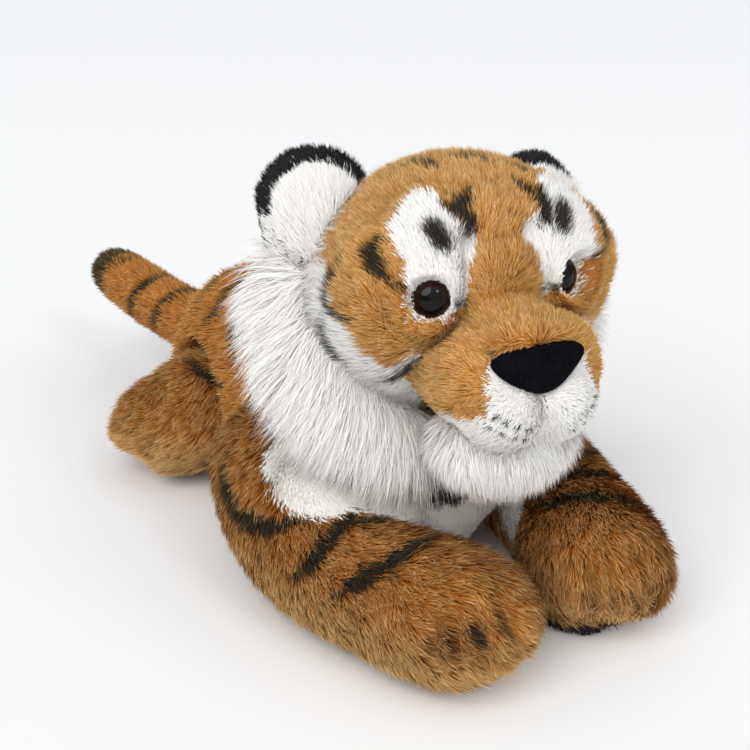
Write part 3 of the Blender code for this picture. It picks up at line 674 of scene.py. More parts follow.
def grow_pile(name, cover, plush, share, strands, width=0.00052, lean=(48, 70), spread=32, stray=0.30,
              swirl=1.3, tuft=(0.0080, 0.24), uneven=0.35, droop=0.0, joints=3, marks=(), ragged=0.0009,
              shade_spread=1.0):
    """Grows one piece of pile on a cover. share is how thickly it grows at each point of the net, lean its
    tilt at the root and the tip in degrees, and tuft the size of the tufts and how far they gather."""
    finish, material = plush
    seed = sum(map(ord, name))
    mesh = cover.mesh.copy()
    share = share * cover.bare
    keep_numbers(mesh, "share", share)
    mesh.calc_loop_triangles()
    corners = np.array([t.vertices for t in mesh.loop_triangles])
    places = np.array([v.co for v in mesh.vertices])
    a, b, c = (places[corners[:, k]] for k in range(3))
    area = (np.linalg.norm(np.cross(b - a, c - a), axis=1) / 2 * share[corners].mean(1)).sum()
    made = grown_mesh(name, mesh, plush_pile, {
        "Strand Density": strands / max(area, 1e-6), "Strand Width": width, "Root Lean": math.radians(lean[0]),
        "Tip Lean": math.radians(lean[1]), "Lean Spread": math.radians(spread), "Stray": stray, "Swirl": swirl,
        "Tuft Size": tuft[0], "Tuft Pull": tuft[1], "Length Spread": uneven, "Droop": droop,
        "Shade Spread": shade_spread, "Joints": joints, "Seed": seed, "Finish": material})
    strand = numbers(made, "strand", "value", 1, np.int32)[:, 0]
    first = np.unique(strand, return_index=True)[1]
    spots = numbers(made, "spot", "vector", 3, np.float32)[first].astype(float)
    dark = mark_share(spots, marks, ragged=ragged, seed=seed) if marks else np.zeros(len(first))
    keep_numbers(made, "dark", dark[strand])
    for spare in ("share", "face_place", "comb", "outward", "pile", "strand", "spot", "across"):
        if spare in made.attributes:
            made.attributes.remove(made.attributes[spare])
    new_piece(name, made, cover.body, finish)


def pile_material(name, finish, root, middle, tip, patchy=0.36, floor_bounce_light=0.0):
    """Pile that is deeper in colour at its roots, partly as painted shade deep in the pile, with paler tips,
    partly as painted rim light, and a slight drift of colour. The last argument makes it paler close to the
    floor, as painted bounce light from the floor. The part's finish goes with it."""
    material, surface, start = new_material(name, 0.85, 0.25)
    surface.inputs["Sheen Roughness"].default_value = 0.5
    surface.inputs["Sheen Tint"].default_value = (*tip, 1)
    surface.inputs["Specular IOR Level"].default_value = 0.12
    along, tone, dark = (start.attribute(name) for name in ("along", "tone", "dark"))
    root_place = start.attribute("root", 1)
    drift = start.noise(root_place, 75, 3).rise(0.3, 0.7)
    clump = start.noise(root_place, 260, 1).rise(0.3, 0.7)
    # Painted shade at the roots and painted rim light at the tips, over the pile's own colour
    colour = along.rise(0.0, 0.55).between(root, middle)
    colour = (along.rise(0.60, 1.0) * (0.10 + tone * 0.45 + clump * 0.40)).between(colour, tip)
    colour = colour * (1 - patchy / 2 + (tone * 0.3 + drift * 0.4 + clump * 0.3) * patchy)
    # Painted bounce light from the floor: the pile turns towards its tip colour close to the floor
    if floor_bounce_light:
        floor_bounce_share = (1 - root_place.part(2).rise(0.006, 0.044)) * floor_bounce_light * (0.35 + tone * 0.65)
        colour = (floor_bounce_share * along.rise(0.15, 0.7)).between(colour, tip)
    printed = (dark - along.rise(0.8, 1.0) * 0.08).math("MAXIMUM", 0.0)
    feed(printed.between(colour, STRIPE_COLOUR), surface)
    return finish, material


def roughen(height, surface, strength, depth):
    """Gives a surface a fine relief."""
    feed(height.node("ShaderNodeBump", {}, {"Strength": strength, "Distance": depth, "Height": height}),
         surface, "Normal")


def cover_material(name, finish, colour):
    """The knitted backing that the pile stands in, seen only where the pile parts."""
    material, surface, start = new_material(name, 0.95, 0.1)
    knit = start.noise(start.own_place(), 900)
    plain = start.attribute("pale").rise(0.42, 0.58).between(colour, WHITE_ROOT)
    feed(start.attribute("dark").between(plain * (knit.rise(0.3, 0.7) * 0.2 + 0.8), STRIPE_COLOUR), surface)
    roughen(knit, surface, 0.4, 0.0004)
    return finish, material


orange_cover = cover_material("orange_backing", "orange_plush", ORANGE_ROOT)
black_cover = cover_material("black_backing", "black_plush", STRIPE_COLOUR)
orange_pile = pile_material("orange_pile", "orange_plush", ORANGE_ROOT, ORANGE_MIDDLE, ORANGE_TIP_AND_RIM_LIGHT)
cream_pile = pile_material("cream_pile", "cream_plush", CREAM_ROOT, CREAM_TIP, CREAM_TIP, patchy=0.08)
white_pile = pile_material("white_pile", "white_plush", WHITE_ROOT, WHITE_TIP, WHITE_TIP, patchy=0.08)
black_pile = pile_material("black_pile", "black_plush", BLACK_ROOT, BLACK_MIDDLE, BLACK_TIP, patchy=0.3)

torso = Cover("torso_cover", "torso_body", ["torso", "chest_panel"], orange_cover)
limbs = ["tail", "hind_leg_right", "hind_leg_left", "foreleg_right", "foreleg_left"]
limb_reach = np.min([reach_to(node, torso.points, ROOT_REACH[2]) for node in limbs], axis=0)
torso.swell(ROOT_SWELL * (1 - smooth_rise(limb_reach, *ROOT_REACH[:2])))
torso_comb = np.column_stack([np.sign(torso.points[:, 0]) * 0.25, torso.ones,
                              -0.35 - 0.3 * np.abs(torso.outward[:, 0])])
on_chest = torso.owned("chest_panel")
torso_comb[on_chest > 0] = (0, -0.2, -1)
underneath = smooth_rise(-torso.outward[:, 2], 0.55, 0.85)
torso.lay_pile(torso_comb, TORSO_PILE * (1 - 0.7 * underneath) * (1 - on_chest) + CHEST_PILE * on_chest)
torso.clear_of(["head", "ruff_right", "ruff_left", "chin_beard", "arm_panel_right", "arm_panel_left", *limbs],
               shallow=0.008, deep=0.014)
torso_marks = [*RUMP_STRIPES, *mirrored(RUMP_STRIPES[:1])]
for y, slant, *angles in BACK_STRIPES:
    stripe = line_round("torso", 6, *angles, lambda k, sine, cosine: (
        BACK_WIDTH * sine, y + slant * k / 6 + STRIPE_WAVE * math.sin(k), BACK_AXIS + BACK_HEIGHT * cosine))
    torso_marks.append((STRIPE_WIDTH, stripe, STRIPE_EDGE))
torso.pale = on_chest
torso.finish(torso_marks)
thin = 1 - 0.75 * underneath
for side_name, half_share in halves(torso.points[:, 0]):
    grow_pile("torso_pile_" + side_name, torso, orange_pile, (1 - on_chest) * half_share * thin,
              TORSO_STRANDS[side_name], marks=torso_marks)
grow_pile("chest_panel_pile", torso, cream_pile, on_chest, CHEST_STRANDS, width=0.0006, lean=(40, 64),
          marks=CHEST_TUFT, tuft=(0.004, 0.08), shade_spread=0.4)

# Tail. A stuffed tube of the same plush, sewn to the rump, with a black tip and dark bands that
# fade out underneath.
TAIL_PILE = 0.0070
TAIL_RADIUS = 0.020
TAIL_STRANDS = 19000
TAIL_LINE = mm(((0, 105, 52), (-1, 141, 45), (-6, 171, 50), (-11, 200, 53), (-16, 237, 58)))
# Bands: place along the tail, slant, half width, first and last angle from the top
TAIL_BANDS = (
    (0.1860, 0.005, 0.0026, -160, 130), (0.1630, 0.006, 0.0026, -155, 120), (0.1400, 0.004, 0.0024, -100, 60),
    (0.2120, 0.003, 0.0018, -40, 75),
)
TAIL_TIP = mm((
    (21.5, ((-16.5, 245, 59), (-15.8, 237, 58))),
    (21.5, ((-15.8, 237, 58), (-15.2, 231, 57.2))),
))
tail = Cover("tail_cover", "tail_body", ["tail"], orange_cover)


def nearest_direction(points, line):
    """The direction of a line of points at the place nearest to each point, and how far along it that is."""
    line = along_line(line, 0.004)
    middles = (line[1:] + line[:-1]) / 2
    nearest = ((points[:, None, :] - middles[None]) ** 2).sum(2).argmin(1)
    return (line[1:] - line[:-1])[nearest], nearest / (len(middles) - 1)


tail_direction, _ = nearest_direction(tail.points, TAIL_LINE)
tail.lay_pile(tail_direction + (0, 0, -0.0006), TAIL_PILE * tail.ones)
tail.clear_of(["torso", "hind_leg_right", "hind_leg_left"])
tail_marks = list(TAIL_TIP)
tail_middle = along_line(TAIL_LINE, 0.002)
for y, slant, width, *angles in TAIL_BANDS:
    centre = Vector(tail_middle[np.abs(tail_middle[:, 1] - y).argmin()])
    band = line_round("tail", 8, *angles, lambda k, sine, cosine: centre + Vector((
        TAIL_RADIUS * sine, -slant * cosine, TAIL_RADIUS * cosine)))
    tail_marks.append((width, band))
tail.finish(tail_marks)
grow_pile("tail_pile", tail, orange_pile, tail.ones, TAIL_STRANDS, marks=tail_marks)

# Hind legs. Stuffed legs of the same plush, coloured darker than the torso as painted shade, folded out to the
# sides, with short black plush soles and toes drawn in by a dark thread, and painted shade along the toes'
# creases.
# The legs' colours are a darker copy of the orange plush, as painted shade, and their pale tips are partly
# painted rim light
LEG_PILE = 0.0100
SHADED_LEG_ROOT = (0.27, 0.072, 0.009)
SHADED_LEG_MIDDLE = (0.375, 0.122, 0.018)
LEG_TIP_AND_RIM_LIGHT = (0.94, 0.66, 0.28)
THREAD_DARK = (0.020, 0.015, 0.010)
THREAD_PALE = (0.050, 0.038, 0.028)
THREAD_RADIUS = 0.00028
THREAD_LIFT = 0.0002
STITCH_SPACING = 0.0032
STITCH_LENGTH = 0.0026
SOLE_PILE = 0.0020
HIND_STRANDS = 24000
HIND_SOLE_STRANDS = 1800
HIP_HEIGHT = 0.050
HIND_MARKS_RIGHT = mm((
    (3.4, ((-48.1, 74, 63.5), (-47.8, 59.4, 62.1), (-44.6, 52.8, 59.4), (-47.2, 34.8, 63.1))),
    (2.2, ((-56, 93, 56), (-60, 84, 60), (-61, 74, 60))),
    (1.5, ((-77.8, 78.7, 40.9), (-78.1, 77, 40)), 1.2),
    (2, ((-80.9, 73.8, 32.4), (-81.1, 72.6, 29.6)), 1.2),
    (1.6, ((-76.6, 63.6, 24.2), (-76.1, 63.8, 21.7)), 1.2),
    (3.5, ((-64, 54, 7), (-55.3, 48.3, 7))),
))
# The creases between the toes of the right hind paw, which are drawn in, sewn and darkened with painted shade
HIND_TOES_RIGHT = mm((
    ((-80, 81, 39), (-73.6, 76.4, 47), (-69, 69, 50)),
    ((-81.1, 72.6, 29.6), (-74, 65, 40), (-69.3, 57.7, 43)),
    ((-76.6, 63.6, 24), (-71, 57, 33), (-66.2, 52, 38.6)),
))


# The legs' backing and pile are painted darker as shade, and the pile is paler near the floor as painted bounce
# light
leg_cover = cover_material("leg_backing", "orange_plush", SHADED_LEG_ROOT)
leg_pile = pile_material("leg_pile", "orange_plush", SHADED_LEG_ROOT, SHADED_LEG_MIDDLE, LEG_TIP_AND_RIM_LIGHT, patchy=0.5, floor_bounce_light=0.9)


def drawn_in(points, lines, depth=0.0045, spread=0.0030):
    """How far the thread between the toes draws the cloth in."""
    amount = np.zeros(len(points))
    for line in lines:
        line = along_line(line, 0.001)
        near = np.where(((points > line.min(0) - 0.008) & (points < line.max(0) + 0.008)).all(1))[0]
        away = np.sqrt(((points[near][:, None, :] - line[None]) ** 2).sum(2).min(1))
        amount[near] = np.minimum(amount[near], -depth * np.exp(-(away / spread) ** 2))
    return amount


def stitch_group():
    """Lays short rounded stitches along a line, each turned a little out of line."""
    group = start, _, take = new_group(
        "running_stitches", "Stitches", Geometry=["Line"], Material=["Finish"], Int=["Seed"],
        Float=["Stitch Spacing", "Stitch Length", "Thread Radius", "Turn"])
    line = start.node("GeometryNodeMeshToCurve", {}, {"Mesh": take["Line"]})
    line = start.node("GeometryNodeResampleCurve", {"mode": "LENGTH"},
                      {"Curve": line, "Length": take["Stitch Spacing"]})
    way = start.node("GeometryNodeInputTangent")
    turned = way + start.random_vector(take["Seed"]) * take["Turn"]
    facing = start.node("FunctionNodeAlignRotationToVector", {"axis": "Z"}, {"Vector": turned})
    thread = start.node("GeometryNodeMeshCylinder", {}, {
        "Vertices": 8, "Side Segments": 3, "Radius": take["Thread Radius"], "Depth": take["Stitch Length"]})
    stitches = start.node("GeometryNodeInstanceOnPoints", {}, {
        "Points": line, "Instance": thread, "Rotation": facing})
    stitches = start.node("GeometryNodeRealizeInstances", {}, {0: stitches})
    end_group(start, stitches, take["Finish"])
    return group


running_stitches = stitch_group()
thread_material, thread_surface, start = new_material("sewing_thread", 0.6)
ply = start.noise(start.own_place(), 2500, 1).rise(0.3, 0.7)
feed(ply.between(THREAD_DARK, THREAD_PALE), thread_surface)


def sew(name, cover, lines, seed):
    """Stitches along some lines on a cover."""
    skin = skin_tree(cover.mesh)
    spots, pairs = [], []
    for line in lines:
        first = len(spots)
        for spot in along_line(line, 0.0008):
            place, outward, _, _ = skin.find_nearest(spot)
            spots.append(place + outward * THREAD_LIFT)
        pairs += [(k, k + 1) for k in range(first, len(spots) - 1)]
    path = bpy.data.meshes.new(name + "_path")
    path.from_pydata(spots, pairs, [])
    made = grown_mesh(name, path, running_stitches, {
        "Stitch Spacing": STITCH_SPACING, "Stitch Length": STITCH_LENGTH, "Thread Radius": THREAD_RADIUS,
        "Turn": 0.12, "Seed": seed, "Finish": thread_material})
    new_piece(name, made, cover.body, "black_velour")


for side_name, side in SIDES:
    leg_node, sole_node = "hind_leg_" + side_name, "hind_sole_" + side_name
    leg = Cover("hind_leg_cover_" + side_name, leg_node + "_body", [leg_node, sole_node], leg_cover)
    creases = [[(-side * x, y, z) for x, y, z in line] for line in HIND_TOES_RIGHT]
    leg.swell(drawn_in(leg.points, creases), ease=1)
    hip = np.array((side * 0.040, 0.066, HIP_HEIGHT))
    leg_comb = (leg.points - hip) * (1, 1, 0.4) + np.array((side * 0.01, 0.004, -0.006))
    on_sole = leg.owned(sole_node)
    underneath = smooth_rise(-leg.outward[:, 2], 0.6, 0.9)
    leg.lay_pile(leg_comb, (LEG_PILE * (1 - 0.75 * underneath)) * (1 - on_sole) + SOLE_PILE * on_sole)
    leg.clear_of(["torso"])
    # Painted shade darkens the pile along the creases between the toes
    marks = HIND_MARKS_RIGHT + tuple((0.0001, line, 0.0022) for line in HIND_TOES_RIGHT)
    if side > 0:
        marks = mirrored(marks)
    leg.black = on_sole
    leg.finish(marks)
    grow_pile("hind_leg_pile_" + side_name, leg, leg_pile, (1 - on_sole) * (1 - 0.8 * underneath),
              HIND_STRANDS, marks=marks, tuft=(0.0080, 0.36), swirl=2.0)
    sew("hind_toe_thread_" + side_name, leg, creases, 11)
    grow_pile("hind_sole_pile_" + side_name, leg, black_pile, on_sole, HIND_SOLE_STRANDS, lean=(10, 30))

# Forelegs. Stuffed forelegs of the same plush, coloured darker than the torso as painted shade, that lie on the
# floor with their paws turned in. A pale short-pile panel is let into each upper leg, and each paw has a black
# sole, dark toe marks and painted shade along the creases between its toes.
PANEL_PILE = 0.0030
FORELEG_STRANDS = {"right": 60000, "left": 54000}
PANEL_STRANDS = {"right": 17000, "left": 12000}
FORE_SOLE_STRANDS = 2200
# The panel ends this high above the floor
PANEL_FOOT = 0.030
FORELEG_LINE = mm(((52, -10, 60), (62, -45, 50), (62, -85, 36), (52, -118, 30), (36, -150, 29), (22, -178, 26)))
# The panel's outline seen from above, for the right leg
PANEL_OUTLINE = mm((
    (-60, -40), (-70.7, -44.6), (-75.3, -50.9), (-78.1, -63.9), (-78.5, -76.9), (-73.2, -87.2),
    (-63.5, -92.8), (-55.9, -91.8), (-43.3, -96.2), (-28.8, -99), (-9.3, -99), (-9.3, -60),
))
ELBOW_PALE = mm(((11, ((18, -98, 45), (24, -99, 30), (28, -100, 18))),))
FORELEG_MARKS = {"right": mm((
    (3.4, ((-72, -140, 5), (-69.7, -148, 5), (-64.6, -156, 5))),
    (3.4, ((-53.7, -170, 5), (-43, -170, 4.5), (-35.3, -168, 4.5), (-25.8, -164, 5))),
    (4.2, ((-77.9, -28.9, 63.9), (-83.5, -30.1, 54.7), (-87.7, -40.9, 48.6), (-89.4, -55.7, 46),
              (-87.3, -71.9, 48.2), (-75.5, -88, 54.6))),
    (4, ((-87.9, -97, 36.3), (-83, -102.6, 43.9), (-72.4, -101.5, 53), (-61.3, -97.2, 56.6),
              (-53.9, -93.8, 57.5))),
    (4.2, ((-63.9, -101.2, 55.7), (-54.9, -104.7, 55.7), (-37.1, -100, 49.7), (-24, -95, 41))),
    (4.2, ((-82.3, -119, 36.3), (-77.5, -124.4, 42.3), (-70, -129.8, 48.7), (-60.7, -132.9, 53.5),
              (-49.4, -131.1, 56), (-38.7, -128.2, 54.3))),
    (2.4, ((-67.9, -164.3, 33.3), (-67.7, -164.7, 29.8)), 2),
    (2.6, ((-62.4, -169.7, 37.4), (-62.3, -171.9, 30.5)), 2),
    (3.2, ((-53.8, -175.5, 39.2), (-52.3, -177.9, 33.9)), 2),
    (1.3, ((-42.8, -176.1, 43), (-41.5, -180.7, 35.7)), 2),
)), "left": mm((
    (3.6, ((10.5, -125, 14), (12.5, -133, 10), (13.7, -139.2, 8), (16, -150.4, 7),
              (22.4, -159, 6), (34.1, -164, 5), (45, -165, 4))),
    (3.6, ((77.9, -28.9, 63.9), (83.5, -30.1, 54.7), (87.7, -40.9, 48.6), (89.4, -55.7, 46),
              (87.3, -71.9, 48.2))),
    (3.4, ((59.5, -107.1, 55.2), (73.5, -99.8, 51), (82, -96, 44))),
    (3.8, ((36.4, -113.1, 52.6), (42.7, -116.9, 55), (52.4, -121.8, 55.2), (64.2, -125, 50.6),
              (66.3, -131.4, 46.8))),
    (3.8, ((22.3, -119, 45), (25.9, -127.7, 51.2), (34.8, -137, 55.4), (46, -146.1, 54.7),
              (56.4, -152.8, 48), (56.4, -160.4, 44.3))),
    (1.7, ((11.9, -169.5, 29.7), (15.4, -168.3, 21.9)), 2),
    (1.6, ((17.9, -175.6, 31.8), (22.5, -173.5, 22.6)), 2),
    (1.4, ((26.7, -179.7, 30), (30.7, -177.1, 22.2)), 2),
))}
# The creases between the toes of each fore paw, which are drawn in, sewn and darkened with painted shade
FORE_TOES = {
    "right": mm((
        ((-67.7, -166, 24), (-68.1, -164.7, 31), (-66, -160, 43)),
        ((-61.8, -173.5, 24), (-61.8, -172.6, 33), (-59, -165, 46)),
        ((-51.7, -179, 25), (-51.7, -178.5, 37), (-50, -169, 50)),
        ((-40.1, -180, 28), (-40.1, -177.9, 41.2), (-39.5, -168, 51)),
    )),
    "left": mm((
        ((15.4, -168.3, 21.9), (11.9, -169.5, 29.7), (12, -162, 42)),
        ((22.5, -173.5, 22.6), (17.9, -175.6, 31.8), (18.5, -169, 44)),
        ((30.7, -177.1, 22.2), (26.7, -179.7, 30), (26.5, -173, 45)),
        ((40, -178, 22), (37, -180, 31), (36.5, -172, 47)),
    )),
}


def inside_outline(points, outline):
    """1 where a point in a plane lies inside an outline, else 0."""
    inside = np.zeros(len(points), dtype=bool)
    for (ax, ay), (bx, by) in zip(outline, outline[1:] + outline[:1]):
        crosses = (ay > points[:, 1]) != (by > points[:, 1])
        inside ^= crosses & (points[:, 0] < (bx - ax) * (points[:, 1] - ay) / ((by - ay) or 1e-9) + ax)
    return inside.astype(float)


for side_name, side in SIDES:
    leg_nodes = ["foreleg_" + side_name, "fore_sole_" + side_name, "arm_panel_" + side_name]
    leg = Cover("foreleg_cover_" + side_name, leg_nodes[0] + "_body", leg_nodes, leg_cover)
    leg.swell(drawn_in(leg.points, FORE_TOES[side_name]), ease=1)
    leg_comb, share = nearest_direction(leg.points, tuple((side * x, y, z) for x, y, z in FORELEG_LINE))
    shoulder = 1 - smooth_rise(share, 0.10, 0.45)[:, None]
    leg_comb = (unit_rows(leg_comb) * (1 - 0.5 * shoulder) + np.array((0, 0, -0.30))
                + shoulder * np.array((side * 0.7, 0.1, -0.5)))
    on_sole, on_panel = leg.owned(leg_nodes[1]), leg.owned(leg_nodes[2])
    plan = np.column_stack([-np.abs(leg.points[:, 0]), leg.points[:, 1]])
    on_panel = np.maximum(on_panel, inside_outline(plan, PANEL_OUTLINE) * (leg.points[:, 2] > PANEL_FOOT))
    if side > 0:
        on_panel = np.maximum(on_panel, mark_share(leg.points, ELBOW_PALE, edge=0.001, ragged=0.0))
    underneath = smooth_rise(-leg.outward[:, 2], 0.6, 0.9)
    pile = LEG_PILE * (1 + 0.12 * smooth_rise(share, 0.6, 0.9)) * (1 - 0.75 * underneath)
    leg.lay_pile(leg_comb, pile * (1 - on_sole) * (1 - on_panel) + SOLE_PILE * on_sole + PANEL_PILE * on_panel)
    leg.clear_of(["torso", "chest_panel", "head", "ruff_" + side_name, "chin_beard"])
    # Painted shade darkens the pile along the creases between the toes
    marks = FORELEG_MARKS[side_name] + tuple((0.0001, line, 0.0018) for line in FORE_TOES[side_name])
    leg.pale, leg.black = on_panel, on_sole
    leg.finish(marks)
    long_share = (1 - on_sole) * (1 - on_panel) * (1 - 0.8 * underneath)
    grow_pile("foreleg_pile_" + side_name, leg, leg_pile, long_share, FORELEG_STRANDS[side_name], marks=marks,
              tuft=(0.0080, 0.36), swirl=1.8)
    grow_pile("arm_panel_pile_" + side_name, leg, cream_pile, on_panel, PANEL_STRANDS[side_name],
              width=0.0006, lean=(52, 76), spread=24, tuft=(0.004, 0.06), swirl=0.6, shade_spread=0.3)
    sew("fore_toe_thread_" + side_name, leg, FORE_TOES[side_name], 12)
    grow_pile("fore_sole_pile_" + side_name, leg, black_pile, on_sole, FORE_SOLE_STRANDS, lean=(10, 30))

# Head. A stuffed head of orange plush with a stuffed muzzle, white brow patches that run down round
# the eyes, white lip pads, a long-pile chin and a long white ruff from under each ear to the chin.
# The face's pile: its darker roots are partly painted shade and its pale tips partly painted rim light
FACE_ROOT = (0.42, 0.145, 0.020)
FACE_MIDDLE = (0.60, 0.270, 0.055)
FACE_TIP_AND_RIM_LIGHT = (0.97, 0.75, 0.40)
HEAD_PLACE = (0, -0.07984, 0.14327)
HEAD_TURN = (math.radians(-3), 0, math.radians(-7.5))
HEAD_FRAME = Matrix.Translation(HEAD_PLACE) @ Euler(HEAD_TURN).to_matrix().to_4x4()
HEAD_NET = 0.0018
HEAD_PILE = 0.0085
BRIDGE_PILE = 0.0062
BROW_PILE = 0.0055
LIP_PILE = 0.0035
CHIN_PILE = 0.0120
RUFF_PILE = 0.0270
FACE_STRANDS = {"right": 50000, "left": 40000}
FACE_WHITE_STRANDS = {"right": 20000, "left": 16000}
RUFF_STRANDS = {"right": 38000, "left": 22000}
CHIN_STRANDS = 12000
EYE_PLACES = {"right": (-0.030, -0.0383, 0.0106), "left": (0.030, -0.0383, 0.0106)}
EYE_TILT, EYE_SPLAY = math.radians(-6), math.radians(25)
EYE_FRAMES = {
    name: (HEAD_FRAME @ Matrix.Translation(place)
           @ Euler((EYE_TILT, 0, math.copysign(EYE_SPLAY, place[0]))).to_matrix().to_4x4()
           @ Matrix.Rotation(math.pi / 2, 4, "X"))
    for name, place in EYE_PLACES.items()}
# The cloth is pressed down to the seat under the eye, and rises to the rim of the hollow round it
EYE_SEAT = 0.0036
HOLLOW_DEPTH = 0.022
HOLLOW_START, HOLLOW_END = 0.0072, 0.0180
# Distances from each eye: the end of the bare cloth, the start of dense pile and the end of the white ring
BARE_END, PILE_START, RING_END = 0.0062, 0.0074, 0.0098
# The white side of the face: its length behind the edge, how far out it starts and its top
SIDE_LENGTH, SIDE_START, SIDE_TOP = 0.030, 0.022, 0.050
# The white lower lip: its rear end and its top
LOWER_LIP_BACK, LOWER_LIP_TOP = -0.060, -0.034
# The pile of the head is combed away from here, in the head's frame
COMB_SOURCE = np.array((0, -0.078, -0.020))
LIP_SEAM = mm(((0, -78, -24), (0, -80, -30), (0, -78, -40)))
FACE_MARKS_RIGHT = mm((
    (4.2, ((-26.4, -109.2, 192.1), (-21.3, -110.4, 189.2), (-11.8, -105, 192.8))),
    (3.6, ((-21.1, -110.1, 189.4), (-18.4, -112, 186.6), (-18.9, -115.5, 182.3))),
    (2.4, ((-19.4, -73.6, 196.4), (-14.4, -77.2, 198.3), (-13.9, -86.8, 198))),
    (4.8, ((-34.5, -113.7, 184.5), (-32.2, -116.1, 180)), 1.8),
    (1.2, ((-53, -110, 164), (-48.5, -115, 163.6))),
    (1.5, ((-34, -125.4, 158.5), (-29.3, -125.5, 156), (-26.2, -124.5, 155.6))),
    (4.2, ((-47.5, -95.3, 177.9), (-51.2, -95.8, 172.9), (-52, -99.9, 168), (-50.6, -104.3, 164.5))),
    (2.4, ((-58, -84.7, 167), (-61.7, -83.1, 159.2), (-63.1, -83.1, 150), (-62, -89.6, 147.1),
              (-59.5, -95.2, 145.5))),
    (2.4, ((-63.7, -81.9, 143.2), (-62.4, -80.6, 134.9), (-59.9, -83.7, 128.4), (-57, -88.2, 125.3))),
    (2.4, ((-46.3, -96.1, 117.4), (-42.7, -103.3, 120.8), (-41, -109.4, 127.6), (-38.9, -113.8, 133.1))),
    (2, ((-51.2, -93.1, 110.6), (-43, -95.2, 105.5), (-35.1, -96.9, 100.5), (-24.1, -95.4, 95.7))),
))
FACE_MARKS_LEFT = mm((
    (0.8, ((-27, -142, 140), (-28.2, -146, 140)), 1.8),
    (3.2, ((17, -115.4, 191.4), (17, -118.2, 188), (15.9, -121.9, 182.6))),
    (2, ((11.9, -106.2, 193), (13.5, -111.3, 192.4), (15.1, -116, 190))),
    (2.6, ((-3.2, -83.7, 199.9), (6.6, -84.5, 199.4), (11.8, -91.4, 197.8))),
    (1.6, ((19, -92.5, 195.9), (27.3, -92.5, 193.1), (20.2, -109.3, 196.7))),
))
# The face's raised forms and the creases between them, in the head's frame, for the left half: height,
# spread and line. The seam and the bridge are on the middle line.
FACE_PUFFS = mm((
    (6.5, 20, ((46, -34, -4), (50, -28, 10))),
    (5, 16, ((48, -28, 28), (47, -30, 20))),
    (8, 13, ((26, -58, -12), (26, -60, -24))),
    (4.5, 12.5, ((0, -46, 26), (0, -60, 10), (0, -72, -2))),
    (4.4, 5.5, ((0, -73, -1), (8, -71, -1.5), (16, -67, -4))),
    (3, 10, ((10, -78, -28), (13, -78, -30))),
))
FACE_CREASES = mm((
    (-6, 2.2, ((0, -80, -24), (0, -81, -30), (0, -78, -40))),
    (-3.8, 4.6, ((0, -44.6, 30.5), (7.5, -44.1, 30.2), (14, -42.9, 31.1))),
    (-3, 3.6, ((4, -44, 37), (13, -43, 33), (16.5, -46, 22), (19.7, -47, 6))),
    (-3.5, 3.8, ((22, -47, 2), (30, -46, -5), (36, -43, -12), (37, -38, -28))),
))
# Outlines measured in the photograph, in its pixels, on the side of the face that it shows
BROW_OUTLINE = (
    (402, 197), (420, 187), (437, 190), (445, 207), (460, 220), (472, 232), (476, 250), (470, 270), (467, 290),
    (463, 306), (447, 316), (424, 318), (408, 306), (401, 285), (405, 262), (393, 247), (387, 226), (396, 212),
)
CHEEK_OUTLINE = (
    (326, 262), (330, 290), (334, 312), (350, 330), (364, 353), (391, 369), (412, 355), (420, 347), (423, 400),
    (436, 414), (440, 480), (290, 480), (290, 262),
)
LIP_OUTLINE = (
    (486, 373), (484, 396), (486, 412), (480, 420), (459, 420), (436, 412), (424, 402), (424, 440), (500, 475),
    (600, 470), (604, 400), (600, 372), (598, 345), (588, 344), (572, 362), (540, 374), (505, 366), (489, 360),
)
WHISKER_DOTS = mm((
    (-31.8, -153.4, 118.3), (-29.3, -156.7, 116.4), (-25.4, -158.8, 114.5), (-19.8, -159.5, 112.4),
    (-30.3, -155.2, 111.7), (-26.3, -157.8, 110), (-20.3, -158.1, 107.6), (-33.5, -151.6, 113.7),
))
# Where the white side of the face begins: height, and how far back
PALE_EDGE = mm(((-60, -20), (-41.2, -15.7), (-29.5, -16.1), (-8.5, -11), (8.6, -10.4),
             (24.2, -8.4), (36.6, -4.2), (45.6, 4.3), (52, 10.1)))


HEAD_AXES = np.array(HEAD_FRAME.to_3x3())


def in_head_frame(points):
    return (points - np.array(HEAD_FRAME.translation)) @ HEAD_AXES


def from_head_frame(points):
    return points @ HEAD_AXES.T + np.array(HEAD_FRAME.translation)


def head_mirrored(spot):
    return from_head_frame(in_head_frame(np.array(spot)) * (-1, 1, 1))


def in_photo(points):
    """Where points show in the photograph, in its pixels."""
    seen = np.column_stack([points, np.ones(len(points))]) @ np.array(camera.matrix_world.inverted()).T
    scale = 750 * CAMERA_LENS / 36 / -seen[:, 2]
    return np.column_stack([375 + seen[:, 0] * scale, 375 - seen[:, 1] * scale])


face_cover = cover_material("face_backing", "orange_plush", FACE_ROOT)
face_pile = pile_material("face_pile", "orange_plush", FACE_ROOT, FACE_MIDDLE, FACE_TIP_AND_RIM_LIGHT)
head_nodes = ["head", "muzzle", "whisker_pad_right", "whisker_pad_left", "chin_beard", "brow_patch_right",
              "brow_patch_left", "ruff_right", "ruff_left"]
eye_nodes = ["eye_right", "eye_left", "eye_washer_right", "eye_washer_left"]
head = Cover("head_cover", "head_body", head_nodes, face_cover, net=HEAD_NET, filled=eye_nodes)
local = in_head_frame(head.points)
raised = np.zeros(len(local))
for height, spread, line in FACE_PUFFS + FACE_CREASES:
    for side in (-1, 1):
        line_points = along_line(np.array(line) * (side, 1, 1), 0.002)
        away = np.min([np.linalg.norm(local - p, axis=1) for p in line_points], axis=0)
        once = 1 if np.any(np.array(line)[:, 0]) else 0.5
        raised += height * np.exp(-(away / spread) ** 2) * once
head.swell(raised)
